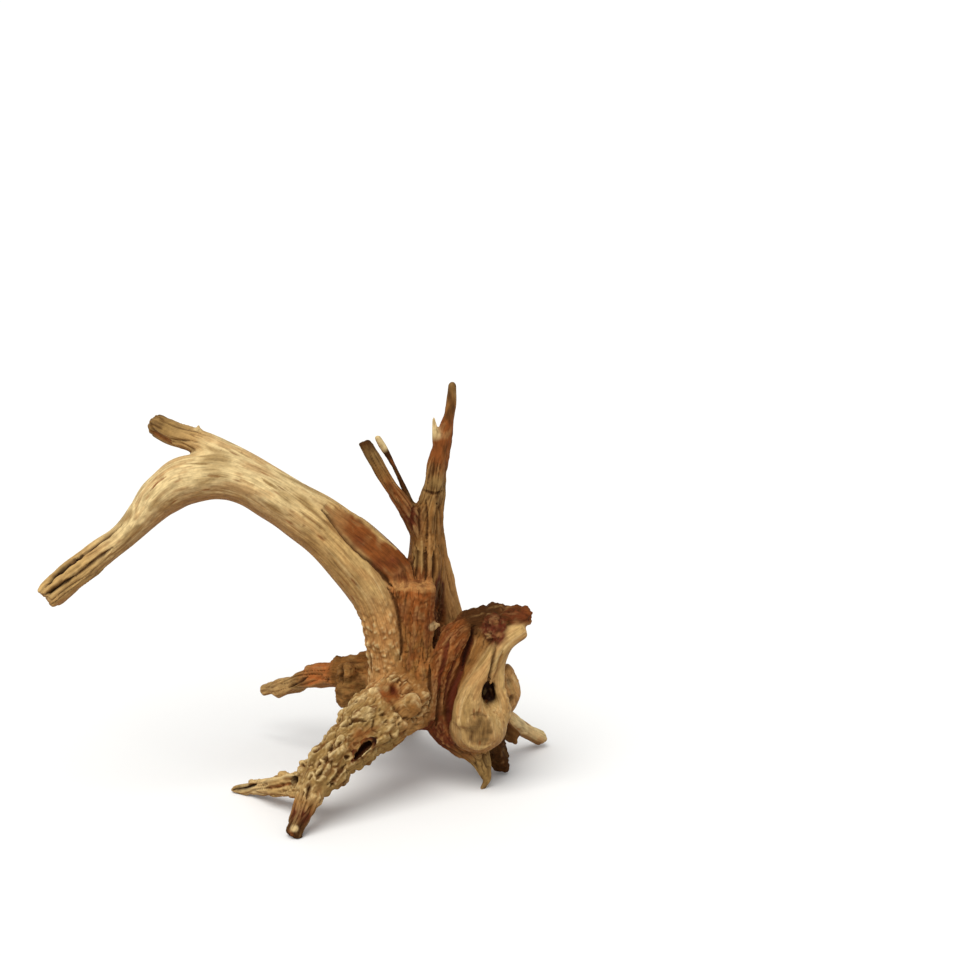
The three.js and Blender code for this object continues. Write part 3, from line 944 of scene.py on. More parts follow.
# The knot, the scar beside it, the slit of the leg, and the broken ledge are calmer than the rest
CALM_PLACES = [
    ((57, -31.5, 52), (8.5, 8, 8.5)),
    ((47, -28, 57.5), (6, 7, 6)),
    ((33, -51, 40), (8, 6, 6)),
    ((60, -7, 108.5), (15, 8, 3.6)),
]
height = np.zeros(len(skin))
for make in (silky, fluted, wormy, pitted, flaky, rough):
    height += texture_share[make.__name__] * through_limbs(make)
height *= np.clip(limb_radius / THIN, LEAST_RELIEF, 1)
for place, radii in CALM_PLACES:
    height *= 1 - CALM * patch(skin, place, radii)
print("heights in mm from", round(float(height.min()), 2), "to", round(float(height.max()), 2))

# %% [markdown]
# Marks of its own
#
# Some marks belong to this piece alone: two long drying cracks at the tip of the arch, the step where
# bark has come off the limb, the fissures of the burl and of the stem, the knot, and the lumps and
# pits of the leg. A mark is either a line, a short row of places, or a dab, one place with a radius.
# The skin is pressed in or raised there, and painted, with painted shade in its cracks, grooves and
# pits. A line is measured along the surface only, so its places needn't lie on it exactly. A dab
# works like a ball, so its place has to be close.

# %% Carve lines
# Each line has its places, a width, a depth (below zero it stands out), a paint, and how much of it
LINES = [
    # The two long cracks at the tip of the arch, and their finer ends, with painted shade in them
    ([(-123.5, -32, 115), (-119.5, -31, 121), (-113, -29.5, 124.8), (-106, -27, 130)], 2.6, 1.6, "deep_shade", 1.0),
    # Painted shade on the upper wall of the first crack
    (
        [(-122, -31.3, 119), (-119, -30.2, 122.2), (-113, -28.7, 125.8), (-106, -26.2, 131)],
        2.7, 0.3, "deep_shade", 1.0,
    ),
    ([(-110, -28.5, 127), (-104, -26.5, 131), (-97, -23, 136), (-86, -20, 143)], 2.1, 1.7, "umber", 1.0),
    ([(-124, -33.5, 109.7), (-117.5, -33, 114.5), (-109, -32, 119.5)], 1.6, 2.2, "deep_shade", 0.9),
    ([(-112, -32.5, 118), (-104, -30, 123), (-97, -26.5, 128), (-90, -24.5, 132.5)], 1.3, 1.3, "umber", 0.8),
    # Scratches along the arch
    ([(-71, -21, 161), (-67.5, -20, 165), (-63, -20, 168)], 1.0, 0.6, "bark", 0.9),
    ([(-52, -16, 173.5), (-47, -17, 174), (-41, -17, 173.5)], 0.9, 0.3, "drab", 0.9),
    ([(-43, -20, 168.5), (-36, -19.5, 167.5)], 1.2, 0.4, "brown", 0.7),
    ([(-16, -15, 165.5), (-12, -15.5, 163), (-7, -15.5, 159.5)], 1.5, 0.6, "drab", 0.9),
    ([(-27.5, -18.5, 166.5), (-18.5, -18.5, 162)], 1.1, 0.4, "brown", 0.6),
    ([(3, -16.5, 148.5), (9, -16, 143.5), (15, -15, 138)], 1.0, 0.5, "brown", 0.6),
    # The step where the arch's two strands meet, with painted shade along it, and the bark between them
    (
        [(13, -9.5, 147), (17.5, -9.5, 141.5), (24.5, -10.5, 132), (32, -10, 124), (38, -8, 118),
         (44.5, -7.5, 111), (47, -8.5, 107)],
        1.7, 1.5, "umber", 0.8,
    ),
    (
        [(46, -8.5, 106), (50, -9.5, 97), (51.5, -9.5, 86.5), (52.5, -10, 76), (51.5, -12, 69)],
        1.6, 0.9, "umber", 0.6,
    ),
    (
        [(15, -7, 147.5), (22, -7, 140), (31, -6.5, 131), (40, -5.5, 122.5), (49, -5, 114.5)],
        6.0, 1.2, "bark", 0.6,
    ),
    (
        [(5, 0, 158), (16, 0, 151), (27, 0, 143), (34.5, -0.5, 138), (42, -1.5, 131.5),
         (49.5, -1, 124.5)],
        4.6, -0.3, "ochre", 0.9,
    ),
    # The flutes of the stem, with painted shade in them
    ([(60.5, 3, 124), (60.3, 0.5, 117), (60.5, -3, 109)], 1.5, 1.4, "umber", 0.8),
    ([(57.5, 4, 121), (58, 0, 114), (58.5, -3, 108)], 1.4, 1.2, "umber", 0.8),
    ([(64.7, 2, 124), (64.7, 0.5, 114), (64.5, -1.5, 107.5)], 1.5, 1.3, "umber", 0.9),
    ([(68.7, 1.5, 122), (68.5, 1, 113), (68.5, -1, 107)], 1.8, 1.3, "umber", 0.9),
    ([(62.5, 2.5, 130), (62.6, 1.5, 118), (62.2, -0.5, 109)], 1.2, -0.6, "tan", 0.4),
    ([(66.5, 2.5, 134), (66.7, 1, 120), (66.5, -2, 110)], 1.2, -0.5, "worn", 0.4),
    ([(64.5, 3.5, 148), (65.5, 2, 138.5), (65, 2, 126)], 1.1, 1.0, "umber", 0.6),
    ([(70, 3, 147), (70.5, 4, 135), (70, 2.5, 124)], 1.1, 1.0, "umber", 0.6),
    ([(61.5, 4, 146), (61.5, 2.5, 138), (61.5, 2, 130)], 1.1, 0.9, "umber", 0.5),
    ([(57, 4, 147), (57.5, 2, 139), (57.5, 3, 131)], 1.4, 1.2, "plum", 0.8),
    ([(64, 6, 153), (68.5, 3, 152), (73, 6, 152.5)], 1.3, 1.0, "umber", 0.6),
    # The fissures of the burl's bark: the bark's plum, with painted shade in them
    (
        [(88, -13, 86), (87, -12.5, 79.5), (84.5, -12.5, 72), (82, -14.5, 64), (78.5, -15.5, 55),
         (76.5, -17, 46.5), (75.5, -16, 38), (77, -14, 30)],
        2.8, 2.2, "plum", 0.95,
    ),
    ([(89, -12, 87), (87, -12.5, 79.5), (84.5, -12.5, 72), (82.5, -14, 64)], 1.4, 0.9, "deep_shade", 0.8),
    ([(77, -15, 82), (73.5, -18, 68.5), (70.5, -18, 50)], 1.8, 1.3, "plum", 0.7),
    ([(80.5, -15, 74), (76, -15.5, 60), (73.5, -16, 47)], 1.4, 1.1, "plum", 0.7),
    ([(72.5, -18, 57), (71, -17.5, 44), (69.5, -15, 34.5)], 1.9, 1.3, "umber", 0.7),
    ([(67, -14, 68), (66.5, -18, 56), (66, -20, 46)], 1.6, 1.2, "umber", 0.6),
    # The grooves of the burl's pale strands, with painted shade in them, and the bulb's rim
    (
        [(99.3, -17, 80), (99, -19, 75), (98.3, -21, 70), (97, -22.5, 64), (95.7, -22, 59)],
        1.5, 2.0, "umber", 0.85,
    ),
    ([(103, -18, 76), (100.5, -19.5, 67), (99.5, -20.5, 60)], 1.3, 0.8, "brown", 0.6),
    (
        [(82.5, -25, 44), (83, -26.5, 37.5), (84.5, -26, 31), (89.5, -26, 27), (97, -25.5, 28)],
        2.2, -0.7, "ochre", 0.6,
    ),
    ([(88, -30, 46), (93, -29.5, 46.5), (98, -27, 45)], 1.4, 0.7, "umber", 0.5),
    # The left toe, with painted shade in its crack
    ([(-20, -29, 8.5), (-27, -24, 4.5), (-33, -20.5, 2)], 1.5, 1.8, "deep_shade", 0.95),
    ([(2, -54, 25), (-8, -43, 17.5), (-17, -34, 11)], 1.4, -1.0, "pale", 0.6),
    ([(-1, -52, 19), (-8, -45, 14), (-16, -36, 9)], 1.2, 1.0, "bark", 0.7),
    # Creases of the leg, the toe and the stub, the umber ones with painted shade in them
    ([(19, -54, 39), (17, -59.5, 36), (16, -63, 33.5)], 1.8, 1.6, "umber", 0.8),
    ([(14, -66, 30), (11.5, -69, 27)], 1.6, 1.4, "umber", 0.8),
    ([(-60, 1, 179), (-66, 2, 181.5), (-72, 5, 184)], 2.6, 0.8, "bark", 0.7),
    ([(8.5, -71, 24), (7, -74, 19)], 1.8, 1.6, "umber", 0.85),
    ([(27, -62, 32), (23, -64.5, 29), (18, -69, 24)], 1.7, 1.3, "umber", 0.7),
    ([(27, -44, 47), (31, -44, 47.5), (35, -43, 47)], 1.5, 1.1, "umber", 0.8),
    # The slit of the leg, with painted shade inside it
    ([(28.5, -58, 32.5), (32.3, -54, 35), (36, -50.5, 38), (40.5, -47.5, 40.5)], 2.6, 0.8, "plum", 0.8),
    ([(29.5, -57, 33), (32.3, -54, 35), (36, -50.5, 38), (39.5, -48, 40)], 1.5, 0.6, "deep_shade", 1.0),
    # Creases of the lump behind, the arch's foot, the left root and the knot, umber as painted shade
    ([(22.5, 4, 61), (21.5, -0.5, 57), (21, 0.5, 52)], 1.7, 1.7, "umber", 0.85),
    ([(36, -9, 70.5), (36.5, -9, 60)], 1.7, 1.8, "umber", 0.85),
    ([(3, 25.5, 46), (-3.5, 31.5, 40.5), (-9, 37.5, 35.5)], 1.3, 1.5, "umber", 0.85),
    ([(60, -33, 45), (64, -26, 46), (65, -22, 51)], 1.8, 1.8, "umber", 0.75),
    ([(52, -31, 57), (56, -30, 59.5), (61, -27, 58)], 1.5, 1.2, "bark", 0.7),
]
LINE_REACH = 7.0
LINE_SPACING = 0.7
LEAST_TAPER = 0.35


def along_route(route):
    """Evenly spaced places along a smooth curve through a line's places."""
    length = np.linalg.norm(np.diff(np.array(route, float), axis=0), axis=1).sum()
    return spline(route, np.linspace(0, 1, max(4, round(length / LINE_SPACING))))


def line_share(route, width):
    """1 in the bottom of a line, fading to 0 at its lips. It wobbles and narrows at both ends."""
    places = along_route(route)
    share = np.zeros(len(skin))
    reach = LINE_REACH + width
    close = np.flatnonzero(((skin > places.min(0) - reach) & (skin < places.max(0) + reach)).all(axis=1))
    offset = skin[close][:, None, :] - places[None]
    lift = (offset * normals[close][:, None, :]).sum(axis=2)
    flat = np.sqrt(np.maximum((offset**2).sum(axis=2) - lift**2, 0))
    flat[np.abs(lift) > LINE_REACH] = FAR_AWAY
    nearest = flat.argmin(axis=1)
    distance = flat[np.arange(len(close)), nearest]
    wobble = 1 + 0.35 * noise(skin[close], 4, 20)
    from_end = np.minimum(nearest, len(places) - 1 - nearest) / len(places)
    taper = np.clip(6 * from_end, LEAST_TAPER, 1)
    share[close] = 1 - ease(0.25, 1, distance / (width * wobble * taper))
    return share


line_marks = []
crack = np.zeros(len(skin))
# A line's paint is thickest at its bottom; in a carved crack or crease the dark paint is painted shade
for route, width, depth, colour, strength in LINES:
    share = line_share(route, width)
    height -= depth * share
    line_marks.append((colour, strength * share**1.5))
    if colour == "deep_shade":
        crack = np.maximum(crack, share)
print("points in cracks:", int((crack > 0.5).sum()))

# %% Raise and press dabs
# Each dab has a place, a radius, a height (below zero it is pressed in), a paint, and how much of it
DABS = [
    # The knot and the knobs and pits round it
    ((49.5, -40, 46.5), 4.0, 1.5, "tan", 0.5),
    ((44, -43, 44.5), 3.2, 1.2, "tan", 0.4),
    ((63.5, -19, 37), 4.2, 1.4, "brown", 0.5),
    ((55, -37, 43), 3.5, 1.0, "worn", 0.4),
    ((58.5, -33, 50.5), 3.4, 0.0, "brown", 0.8),
    ((54, -33, 55.5), 2.6, 0.3, "tan", 0.6),
    ((46.5, -28, 58), 6.4, -1.4, "bark", 0.9),
    ((44, -29, 56), 3.6, 0.0, "red", 0.8),
    ((48.5, -26.5, 58.5), 4.4, -2.6, "bark", 0.95),
    ((49.5, -26.5, 59.5), 2.4, -2.0, "plum", 0.95),
    ((50.5, -27.5, 55.5), 1.7, -1.2, "umber", 0.9),
    ((47, -29.5, 54.5), 1.7, -1.2, "umber", 0.9),
    ((44.5, -27, 60.5), 2.2, 0.8, "tan", 0.7),
    ((44.3, -31, 53), 4.6, -0.5, "bark", 0.85),
    ((47, -23, 63.5), 2.4, 0.8, "tan", 0.5),
    ((33, -29, 53.5), 4.0, 1.0, "pale", 0.5),
    ((39, -28, 58.5), 3.2, 1.0, "pale", 0.5),
    ((27, -32, 50.5), 3.6, 0.8, "pale", 0.4),
    ((36, -44, 52), 3.0, 0.9, "pale", 0.3),
    # The edges of the slit, and the pits of the leg and the toes, with painted shade in the pits
    ((32, -50.5, 42), 5.6, -1.0, "bark", 0.5),
    ((27.5, -54, 38.5), 4.2, -0.8, "bark", 0.6),
    ((37.5, -46.5, 44), 3.4, -0.6, "bark", 0.5),
    ((26, -46, 47.5), 2.0, -1.6, "umber", 0.9),
    ((-0.5, -51, 19), 3.0, -1.4, "deep_shade", 0.95),
    ((-3, -48, 16), 1.6, -1.0, "umber", 0.8),
    ((8, -71, 24), 2.0, -1.6, "umber", 0.9),
    ((5, -73, 14), 3.2, 0.4, "tan", 0.6),
    # The uprights, and the mottled bark between the arch's strands
    ((70, 3.5, 158), 3.4, 1.0, "drab", 0.5),
    ((54.5, -1, 136), 1.8, 0.3, "ochre", 0.6),
    ((47, -4, 118.5), 4.4, -0.3, "plum", 0.7),
    ((31.5, -7, 129.7), 4, -0.3, "plum", 0.5),
    ((41, -6, 117.5), 4.2, -0.2, "plum", 0.5),
    ((51, -5, 111), 4, 0, "plum", 0.5),
    ((39.5, -5, 124), 2.4, 0.5, "tan", 0.4),
    ((23, -7, 140), 4.5, 0.3, "worn", 0.3),
    ((35, -5, 130.5), 3, 0.3, "worn", 0.35),
    # The left root, the column, and the burl
    ((4, 28, 50), 2.6, 0.8, "drab", 0.3),
    ((12.5, 14, 48.5), 1.7, -0.9, "deep_shade", 0.8),
    ((106, -13, 57), 2.2, -0.8, "umber", 0.7),
    ((108, -12, 52), 1.8, -0.6, "umber", 0.6),
    ((61, -17, 81.5), 2.6, -1.0, "bark", 0.7),
    ((58, -15.5, 72), 2.2, -0.8, "bark", 0.6),
    ((63, -17, 66), 2.4, 0.8, "worn", 0.4),
    ((101.5, -17, 84), 1.8, 0.8, "worn", 0.35),
    ((96.5, -15.5, 83), 1.6, 0.7, "tan", 0.5),
    ((100, -16, 90), 1.6, 0.7, "worn", 0.35),
    ((95.5, -15, 88.5), 2.0, -0.8, "deep_shade", 0.6),
    ((92, -28, 41), 2.0, -0.5, "umber", 0.5),
    ((88, -29, 36), 1.6, -0.5, "umber", 0.5),
    ((96, -26.5, 36), 1.8, -0.5, "umber", 0.5),
    ((107, -10, 57), 2.2, -0.9, "umber", 0.7),
    ((107.5, -10, 47.5), 2.0, -0.9, "umber", 0.7),
    ((105.5, -11, 51.5), 2.4, 0.7, "worn", 0.6),
]
# In a pressed dab the dark paint is painted shade in its pit
dab_marks = []
for place, radius, lift, colour, strength in DABS:
    from_place = np.linalg.norm(skin - np.array(place), axis=1)
    share = np.exp(-((from_place / radius) ** 2))
    height += lift * share
    dab_marks.append((colour, strength * ease(0.1, 0.9, share + 0.2 * noise(skin, 2.5, 40))))
print(len(DABS), "dabs")

# %% Ring the knot and roughen broken faces
KNOT = (57, -31.5, 52)
KNOT_RADIUS = 6.3
KNOT_RISE = 2.1
KNOT_DIP = 0.8
KNOT_GROOVE = 1.4
GROOVE_PLACE = 1.25
GROOVE_WIDTH = 0.22
# The bulb's face, the burl's broken end, the knot, and the lump behind the bulb are rougher
ROUGH_FACES = [
    ((92, -28, 38), (8, 6, 8.5), 0.5),
    ((99, -16.5, 86.5), (7, 6, 8), 1.0),
    ((57, -32, 52), (6, 5, 6), 0.4),
    ((107, -10, 52), (7, 9, 12), 0.7),
]
from_knot = np.linalg.norm(skin - np.array(KNOT), axis=1) / KNOT_RADIUS
from_knot += 0.14 * noise(skin, 5, 36)
height += KNOT_RISE * (1 - ease(0.55, 1.1, from_knot)) - KNOT_DIP * (1 - ease(0.1, 0.65, from_knot))
height -= KNOT_GROOVE * np.exp(-(((from_knot - GROOVE_PLACE) / GROOVE_WIDTH) ** 2))
for place, radii, strength in ROUGH_FACES:
    roughness = noise(skin, 2.4, 37) + 0.6 * noise(skin, 1.3, 38)
    height += strength * patch(skin, place, radii) * roughness
print("points on the knot:", int((from_knot < 1).sum()))

# %% Press the carving into the skin
SOFTENING = 0.3
FINE_HOLLOW_ROUNDS = 6
WIDE_HOLLOW_ROUNDS = 36
skin += normals * height[:, None]
skin = smoothed(skin, 1, around) * SOFTENING + skin * (1 - SOFTENING)
write_points(wood.data, skin)
normals = read_normals(wood.data)


def hollowness(rounds):
    """How far a point lies under the smoothed skin, in millimetres. Ridges are below zero."""
    return ((smoothed(skin, rounds, around) - skin) * normals).sum(axis=1)


hollow = hollowness(FINE_HOLLOW_ROUNDS)
wide_hollow = hollowness(WIDE_HOLLOW_ROUNDS)
for name, values in (("fine", hollow), ("wide", wide_hollow)):
    print(name, "hollows in mm:", np.percentile(values, (2, 20, 50, 80, 98)).round(2))

# %% [markdown]
# Painting the wood
#
# The wood has about a dozen colours, and they change along a limb and from patch to patch: pale
# sapwood where sand has polished it, ochre and tan below, red-brown bark in the middle, plum where
# the bark is thick, and umber in broken ends. They could be mixed with masks in the shader, but then
# each material would need every mask. Painting one colour on every point of the skin is simpler, and
# it stays the same on both sides of a fork. The shader adds what is finer than the points.

# %% Mix the paints
def paint(red, green, blue):
    """A paint given as it looks on screen, as the linear values that a shader needs."""
    values = np.array([red, green, blue]) / 255
    return np.where(values <= 0.04045, values / 12.92, ((values + 0.055) / 1.055) ** 2.4)


PAINTS = {
    "pale": paint(206, 181, 131),
    "ochre": paint(184, 150, 96),
    "tan": paint(172, 138, 88),
    "worn": paint(168, 122, 72),
    "drab": paint(138, 108, 62),
    "brown": paint(128, 86, 42),
    "grey": paint(112, 82, 44),
    "bark": paint(120, 66, 28),
    "red": paint(166, 92, 42),
    "plum": paint(88, 38, 20),
    "umber": paint(66, 38, 14),
    # The darkest paint is painted shade: it fills cracks, pits, slits, holes and the deepest hollows
    "deep_shade": paint(34, 14, 6),
}
tone = np.stack(
    [from_stops(lambda stop: PAINTS[stop[1]][channel]) for channel in range(3)], axis=1
)
print("mean colour of the wood:", tone.mean(axis=0).round(2))

# %% Paint the patches
# Each patch has a paint, a place, three radii, how much of it, and how soft its edge is
PATCHES = [
    # The burl's broken end, its hole and bulb, and the lump behind it
    ("umber", (94, -9, 94), (6, 6, 4), 0.7, 0.5),
    ("plum", (99, -16.5, 86.5), (7.4, 6.5, 8), 1.0, 0.5),
    ("plum", (111, -8, 91), (8, 6, 4), 0.6, 0.6),
    ("ochre", (112, -14, 84), (8, 5, 3.4), 0.8, 0.5),
    # Painted shade in the fold where the bark meets the pale strand, in the bark's plum
    ("plum", (78, -15.5, 46), (3.6, 5, 14), 0.9, 0.5),
    ("grey", (92, -28, 37), (7.6, 6, 8.5), 0.85, 0.7),
    ("worn", (107, -8, 52), (7, 9, 13), 0.7, 0.6),
    # Painted shade inside the burl's hole
    ("deep_shade", (95.8, -13.5, 54), (5, 8, 8.5), 1.0, 0.4),
    # The knot, the lump behind the arch, the toe's end, the ledge, and the slot by the column
    ("brown", (57.8, -33.5, 51.8), (4.8, 5, 4.8), 0.85, 0.6),
    ("brown", (57, -33, 46), (10, 9, 7), 0.5, 0.8),
    ("drab", (27, 2, 50), (9, 7, 14), 0.4, 0.7),
    ("pale", (0.8, -81, 5.8), (2.2, 2.4, 1.5), 0.85, 1.0),
    ("bark", (-1.5, -81, 3), (2, 2.4, 2), 0.6, 0.8),
    ("worn", (62, -12.5, 106.5), (8, 4, 1.5), 0.5, 0.7),
    ("worn", (50, -9.5, 106), (6, 4, 1.4), 0.5, 0.7),
    ("bark", (57, -3, 111), (14, 5, 4), 0.8, 0.7),
    ("brown", (56, -20, 63), (11, 14, 12), 0.6, 0.8),
    # Painted shade inside the slot by the column
    ("plum", (71.5, 2, 95), (3, 12, 14), 1.0, 0.3),
    ("plum", (69.5, 1, 77), (3, 10, 9), 1.0, 0.3),
    ("umber", (71.5, 4, 94), (2.6, 9, 12), 0.7, 0.4),
    ("pale", (68.6, -11, 86.8), (3.6, 3, 2.6), 1.0, 0.3),
    # The slit of the leg, and the tips of the branches
    # Painted shade inside the slit of the leg
    ("deep_shade", (34, -52, 36), (3.6, 3, 2.2), 0.9, 0.4),
    ("pale", (-48, 1, 188), (3, 3, 3), 0.7, 0.5),
    ("umber", (34, 0, 181), (5, 5, 3), 0.4, 0.6),
    ("grey", (78, 12, 206), (5, 5, 5), 0.5, 0.5),
    ("red", (121.5, 42, 5), (3.5, 3.5, 3), 0.4, 0.5),
    ("brown", (109, 22, 17), (4, 4, 4), 0.6, 0.5),
    ("umber", (106, -3, 25), (6, 5, 6), 0.7, 0.6),
]
RAGGEDNESS = 0.16


def blend(colours, name, amount):
    return colours + (PAINTS[name] - colours) * np.clip(amount, 0, 1)[:, None]


streak = 0.6 * along_grain((3.4, 3.4, 50), 31) + 0.5 * along_grain((1.3, 1.3, 22), 32)
ragged = noise(skin, 3.4, 30) + 0.6 * streak
for name, place, radii, strength, soft in PATCHES:
    tone = blend(tone, name, strength * patch(skin, place, radii, soft, RAGGEDNESS * ragged))
print(len(PATCHES), "patches painted")

# %% Find where streaks, flakes and ridges lie, and the hollows for painted shade and grime
mottle = along_grain((4.6, 4.6, 15), 33)
speckle = along_grain((1.5, 1.5, 4), 34)
blotch = along_grain((2.8, 2.8, 7), 39)
dash = through_limbs(dashes)
layers = through_limbs(bark_layers)
pit = through_limbs(pits)
# How a point faces the lamp: painted shade where it faces down, painted light where it faces up
shaded_underside = ease(-0.25, 0.8, -normals[:, 2])
lit_side = 1 - shaded_underside
highlit_upper_side = ease(-0.3, 0.5, normals[:, 2])
smooth_wood = texture_share["silky"] + 0.6 * texture_share["fluted"]
rough_wood = 1 - texture_share["silky"]
flaky_wood = texture_share["flaky"]
knobbly_wood = texture_share["pitted"] + texture_share["wormy"]
is_light = ease(0.2, 0.42, tone[:, 0])
is_dark = (1 - is_light) * (1 - texture_share["wormy"])
pale_smooth_wood = smooth_wood * is_light
# Painted shade and grime in the hollows, from how deep a point lies under the smoothed skin
hollow_shade_and_grime = 0.6 * ease(0.0, 0.32, hollow) + 0.5 * ease(0.05, 0.9, wide_hollow)
ridge = 0.6 * ease(0.0, 0.3, -hollow) + 0.6 * ease(0.1, 0.9, -wide_hollow)
print("dirt covers", round(100 * float((hollow_shade_and_grime * rough_wood).mean())), "% of the skin")

# %% Paint them, one thin coat over the other
SPECKLE_IN_MARKS = 0.3
COATS = [
    ("umber", 0.65 * is_dark * ease(0.05, 0.6, blotch)),
    # Painted light: dark wood turns tan where it faces up
    ("tan", 0.3 * is_dark * ease(0.15, 0.7, -blotch) * lit_side),
    ("drab", 0.7 * pale_smooth_wood * ease(0.05, 0.6, mottle)),
    ("worn", 0.5 * pale_smooth_wood * ease(0.0, 0.5, -mottle - 0.3 * speckle)),
    ("pale", 0.4 * pale_smooth_wood * ease(0.1, 0.6, streak)),
    ("brown", 0.45 * pale_smooth_wood * ease(0.25, 0.7, -streak)),
    # Painted shade: light wood turns brown where it faces down
    ("brown", 0.95 * shaded_underside * is_light),
    ("bark", 0.75 * dash * smooth_wood),
    ("plum", 0.5 * flaky_wood * ease(0.5, 1, layers)),
    # Red wood where the bark has come off, the wood's own colour, laid only where it faces up as painted
    # light
    ("red", 0.3 * flaky_wood * (1 - ease(0, 0.5, layers)) * lit_side),
    # Painted shade and grime: rough wood turns umber in its hollows
    ("umber", 0.85 * hollow_shade_and_grime * rough_wood),
    ("worn", 0.45 * ridge * flaky_wood),
    ("tan", 0.35 * ridge * texture_share["fluted"]),
    ("bark", 0.35 * knobbly_wood * ease(0.0, 0.6, blotch)),
    # Painted highlight: pale on the ridges of the pitted wood that face up
    ("pale", 0.65 * ridge * texture_share["pitted"] * highlit_upper_side),
    ("pale", 0.8 * ridge * texture_share["wormy"]),
    ("drab", 0.4 * knobbly_wood * ease(0.1, 0.6, mottle)),
    # Painted shade inside the deep pits of the pitted wood
    ("umber", 0.75 * texture_share["pitted"] * pit),
]
for name, amount in COATS:
    tone = blend(tone, name, amount)
for name, amount in line_marks + dab_marks:
    tone = blend(tone, name, amount * (1 + SPECKLE_IN_MARKS * speckle))
grit = 0.18 * speckle + 0.12 * noise(skin, 1.3, 35)
tone *= np.clip(1 + grit, 0.5, 1.4)[:, None]
print(len(COATS), "coats and", len(line_marks + dab_marks), "marks painted")

# %% [markdown]
# Handing the paint to the shader
#
# What was worked out for each point goes into attributes of the mesh, which an Attribute node reads
# by name: the colour, the streaks, the hollows, and the place in the straight limb. Where two limbs
# share a point its straight place jumps from one to the other, so the fine grain of the shader
# fades out there, by the share that the strongest limb holds.

# %% Write the attributes
STRONG_SHARE = (0.6, 0.85)


def add_attribute(mesh, name, kind, slot_name, values):
    layer = mesh.attributes.new(name, kind, "POINT")
    layer.data.foreach_set(slot_name, np.ascontiguousarray(values, np.float32).ravel())


strongest = shares.max(axis=0)
straight = np.zeros((len(skin), 3))
best = np.zeros(len(skin))
for holding in holdings:
    better = holding.share > best[holding.points]
    straight[holding.points[better]] = holding.straight[better]
    best[holding.points[better]] = holding.share[better]
add_attribute(wood.data, "tone", "FLOAT_COLOR", "color", np.column_stack([tone, np.ones(len(tone))]))
add_attribute(wood.data, "streak", "FLOAT", "value", streak)
add_attribute(wood.data, "hollow", "FLOAT", "value", hollow)
add_attribute(wood.data, "polish", "FLOAT", "value", smooth_wood * (1 - crack))
add_attribute(wood.data, "grain", "FLOAT_VECTOR", "vector", straight * MM)
add_attribute(wood.data, "grain_trust", "FLOAT", "value", ease(*STRONG_SHARE, strongest))
add_attribute(wood.data, "whole_normal", "FLOAT_VECTOR", "vector", normals)
print("attributes:", [layer.name for layer in wood.data.attributes if not layer.is_internal])

# %% [markdown]
# Parting the wood at its forks
#
# The frame's solids are parted at the forks, and so is the skin, along the same planes. Only the
# left prong and the thin twig are parted a few millimetres higher, where they have come free of
# each other. A plane would cut every limb that it meets, so only the faces near the fork are
# offered to the bisect operator. After that the skin still hangs together, but its branches can be
# told apart: starting from a point of each branch, a flood runs over the faces and stops at the
# cuts, whose edges are marked as seams. Each flood is then separated, and the open end is closed
# with faces.

# %% List the forks and the branches
# Each fork has a place, the direction across its cut, and how far the cut reaches
DISC_FORKS = [
    ((40, 2, 107), (-0.6, 0, 0.8), 23),
    ((-58, 5, 182), (-0.93, 0.3, 0.22), 7.8),
    ((66, 11, 120), (0, 0, 1), 14),
    ((51, 3, 150.5), (-0.5, -0.13, 0.86), 7.2),
    ((53.6, 13.3, 152), (-0.35, 0.06, 0.93), 4.5),
    ((44.5, -23, 44), (-0.55, -0.78, -0.3), 23),
    ((8.5, -66, 18), (-0.35, -0.65, -0.67), 9.5),
    ((3, -48, 17.5), (-0.7, 0.6, -0.4), 9.5),
    ((19, 20, 50.5), (-0.78, 0.54, -0.26), 11),
    ((100.5, 21.5, 28), (0.55, 0.5, -0.67), 9.5),
    ((92, -9.5, 14.5), (0.45, -0.35, -0.82), 8.5),
    ((100.5, 3.5, 16), (0.4, 0.5, -0.77), 9),
    ((52.5, 29, 37), (-0.1, 0.9, -0.42), 14),
]
WALL_FORKS = [
    ((73.5, -13.5, 52.5), (1, 0, 0), (2, 21.5, 38)),
    ((97, 7, 53.5), (0, 1, 0), (24.5, 2, 35)),
]
# Each branch has a point on its skin, where its flood starts, and its finish
BRANCHES = {
    "crown": ((57, -23, 47), "bark_wood"),
    "arch_limb": ((-38, -21, 165), "pale_wood"),
    "arch_stub": ((-66, 8, 190), "pale_wood"),
    "upright_prong": ((71, 5, 166), "grey_wood"),
    "left_prong": ((47, -3, 157), "grey_wood"),
    "thin_twig": ((48, 12, 164), "dark_wood"),
    "front_leg": ((28, -45, 46), "pitted_wood"),
    "front_toe": ((3, -80, 7), "pitted_wood"),
    "left_toe": ((-16, -31, 12), "pitted_wood"),
    "left_root": ((1, 35, 47), "bark_wood"),
    "right_burl": ((91, -29, 35), "pale_wood"),
    "burl_spike": ((94, -15, 10), "dark_wood"),
    "burl_stub": ((106, 4, 10), "dark_wood"),
    "right_root": ((114, 34, 17), "pale_wood"),
    "rear_root": ((49, 54, 28), "bark_wood"),
}
print(len(DISC_FORKS) + len(WALL_FORKS), "cuts for", len(BRANCHES), "branches")

# %% Cut near a plane
CUT_DEPTH = 2.0


def is_near(centres, place, direction, reach):
    """Which of these places lie close to a fork's plane, within its disc or wall."""
    offset = centres - np.array(place)
    away = np.abs(offset @ unit(np.array(direction, float)))
    if isinstance(reach, tuple):
        inside = (np.abs(offset) < np.array(reach)).all(axis=1)
    else:
        inside = np.linalg.norm(offset, axis=1) < reach
    return inside & (away < CUT_DEPTH)


def centres_of(faces):
    return np.array([face.calc_center_median() for face in faces]).reshape(-1, 3) / MM


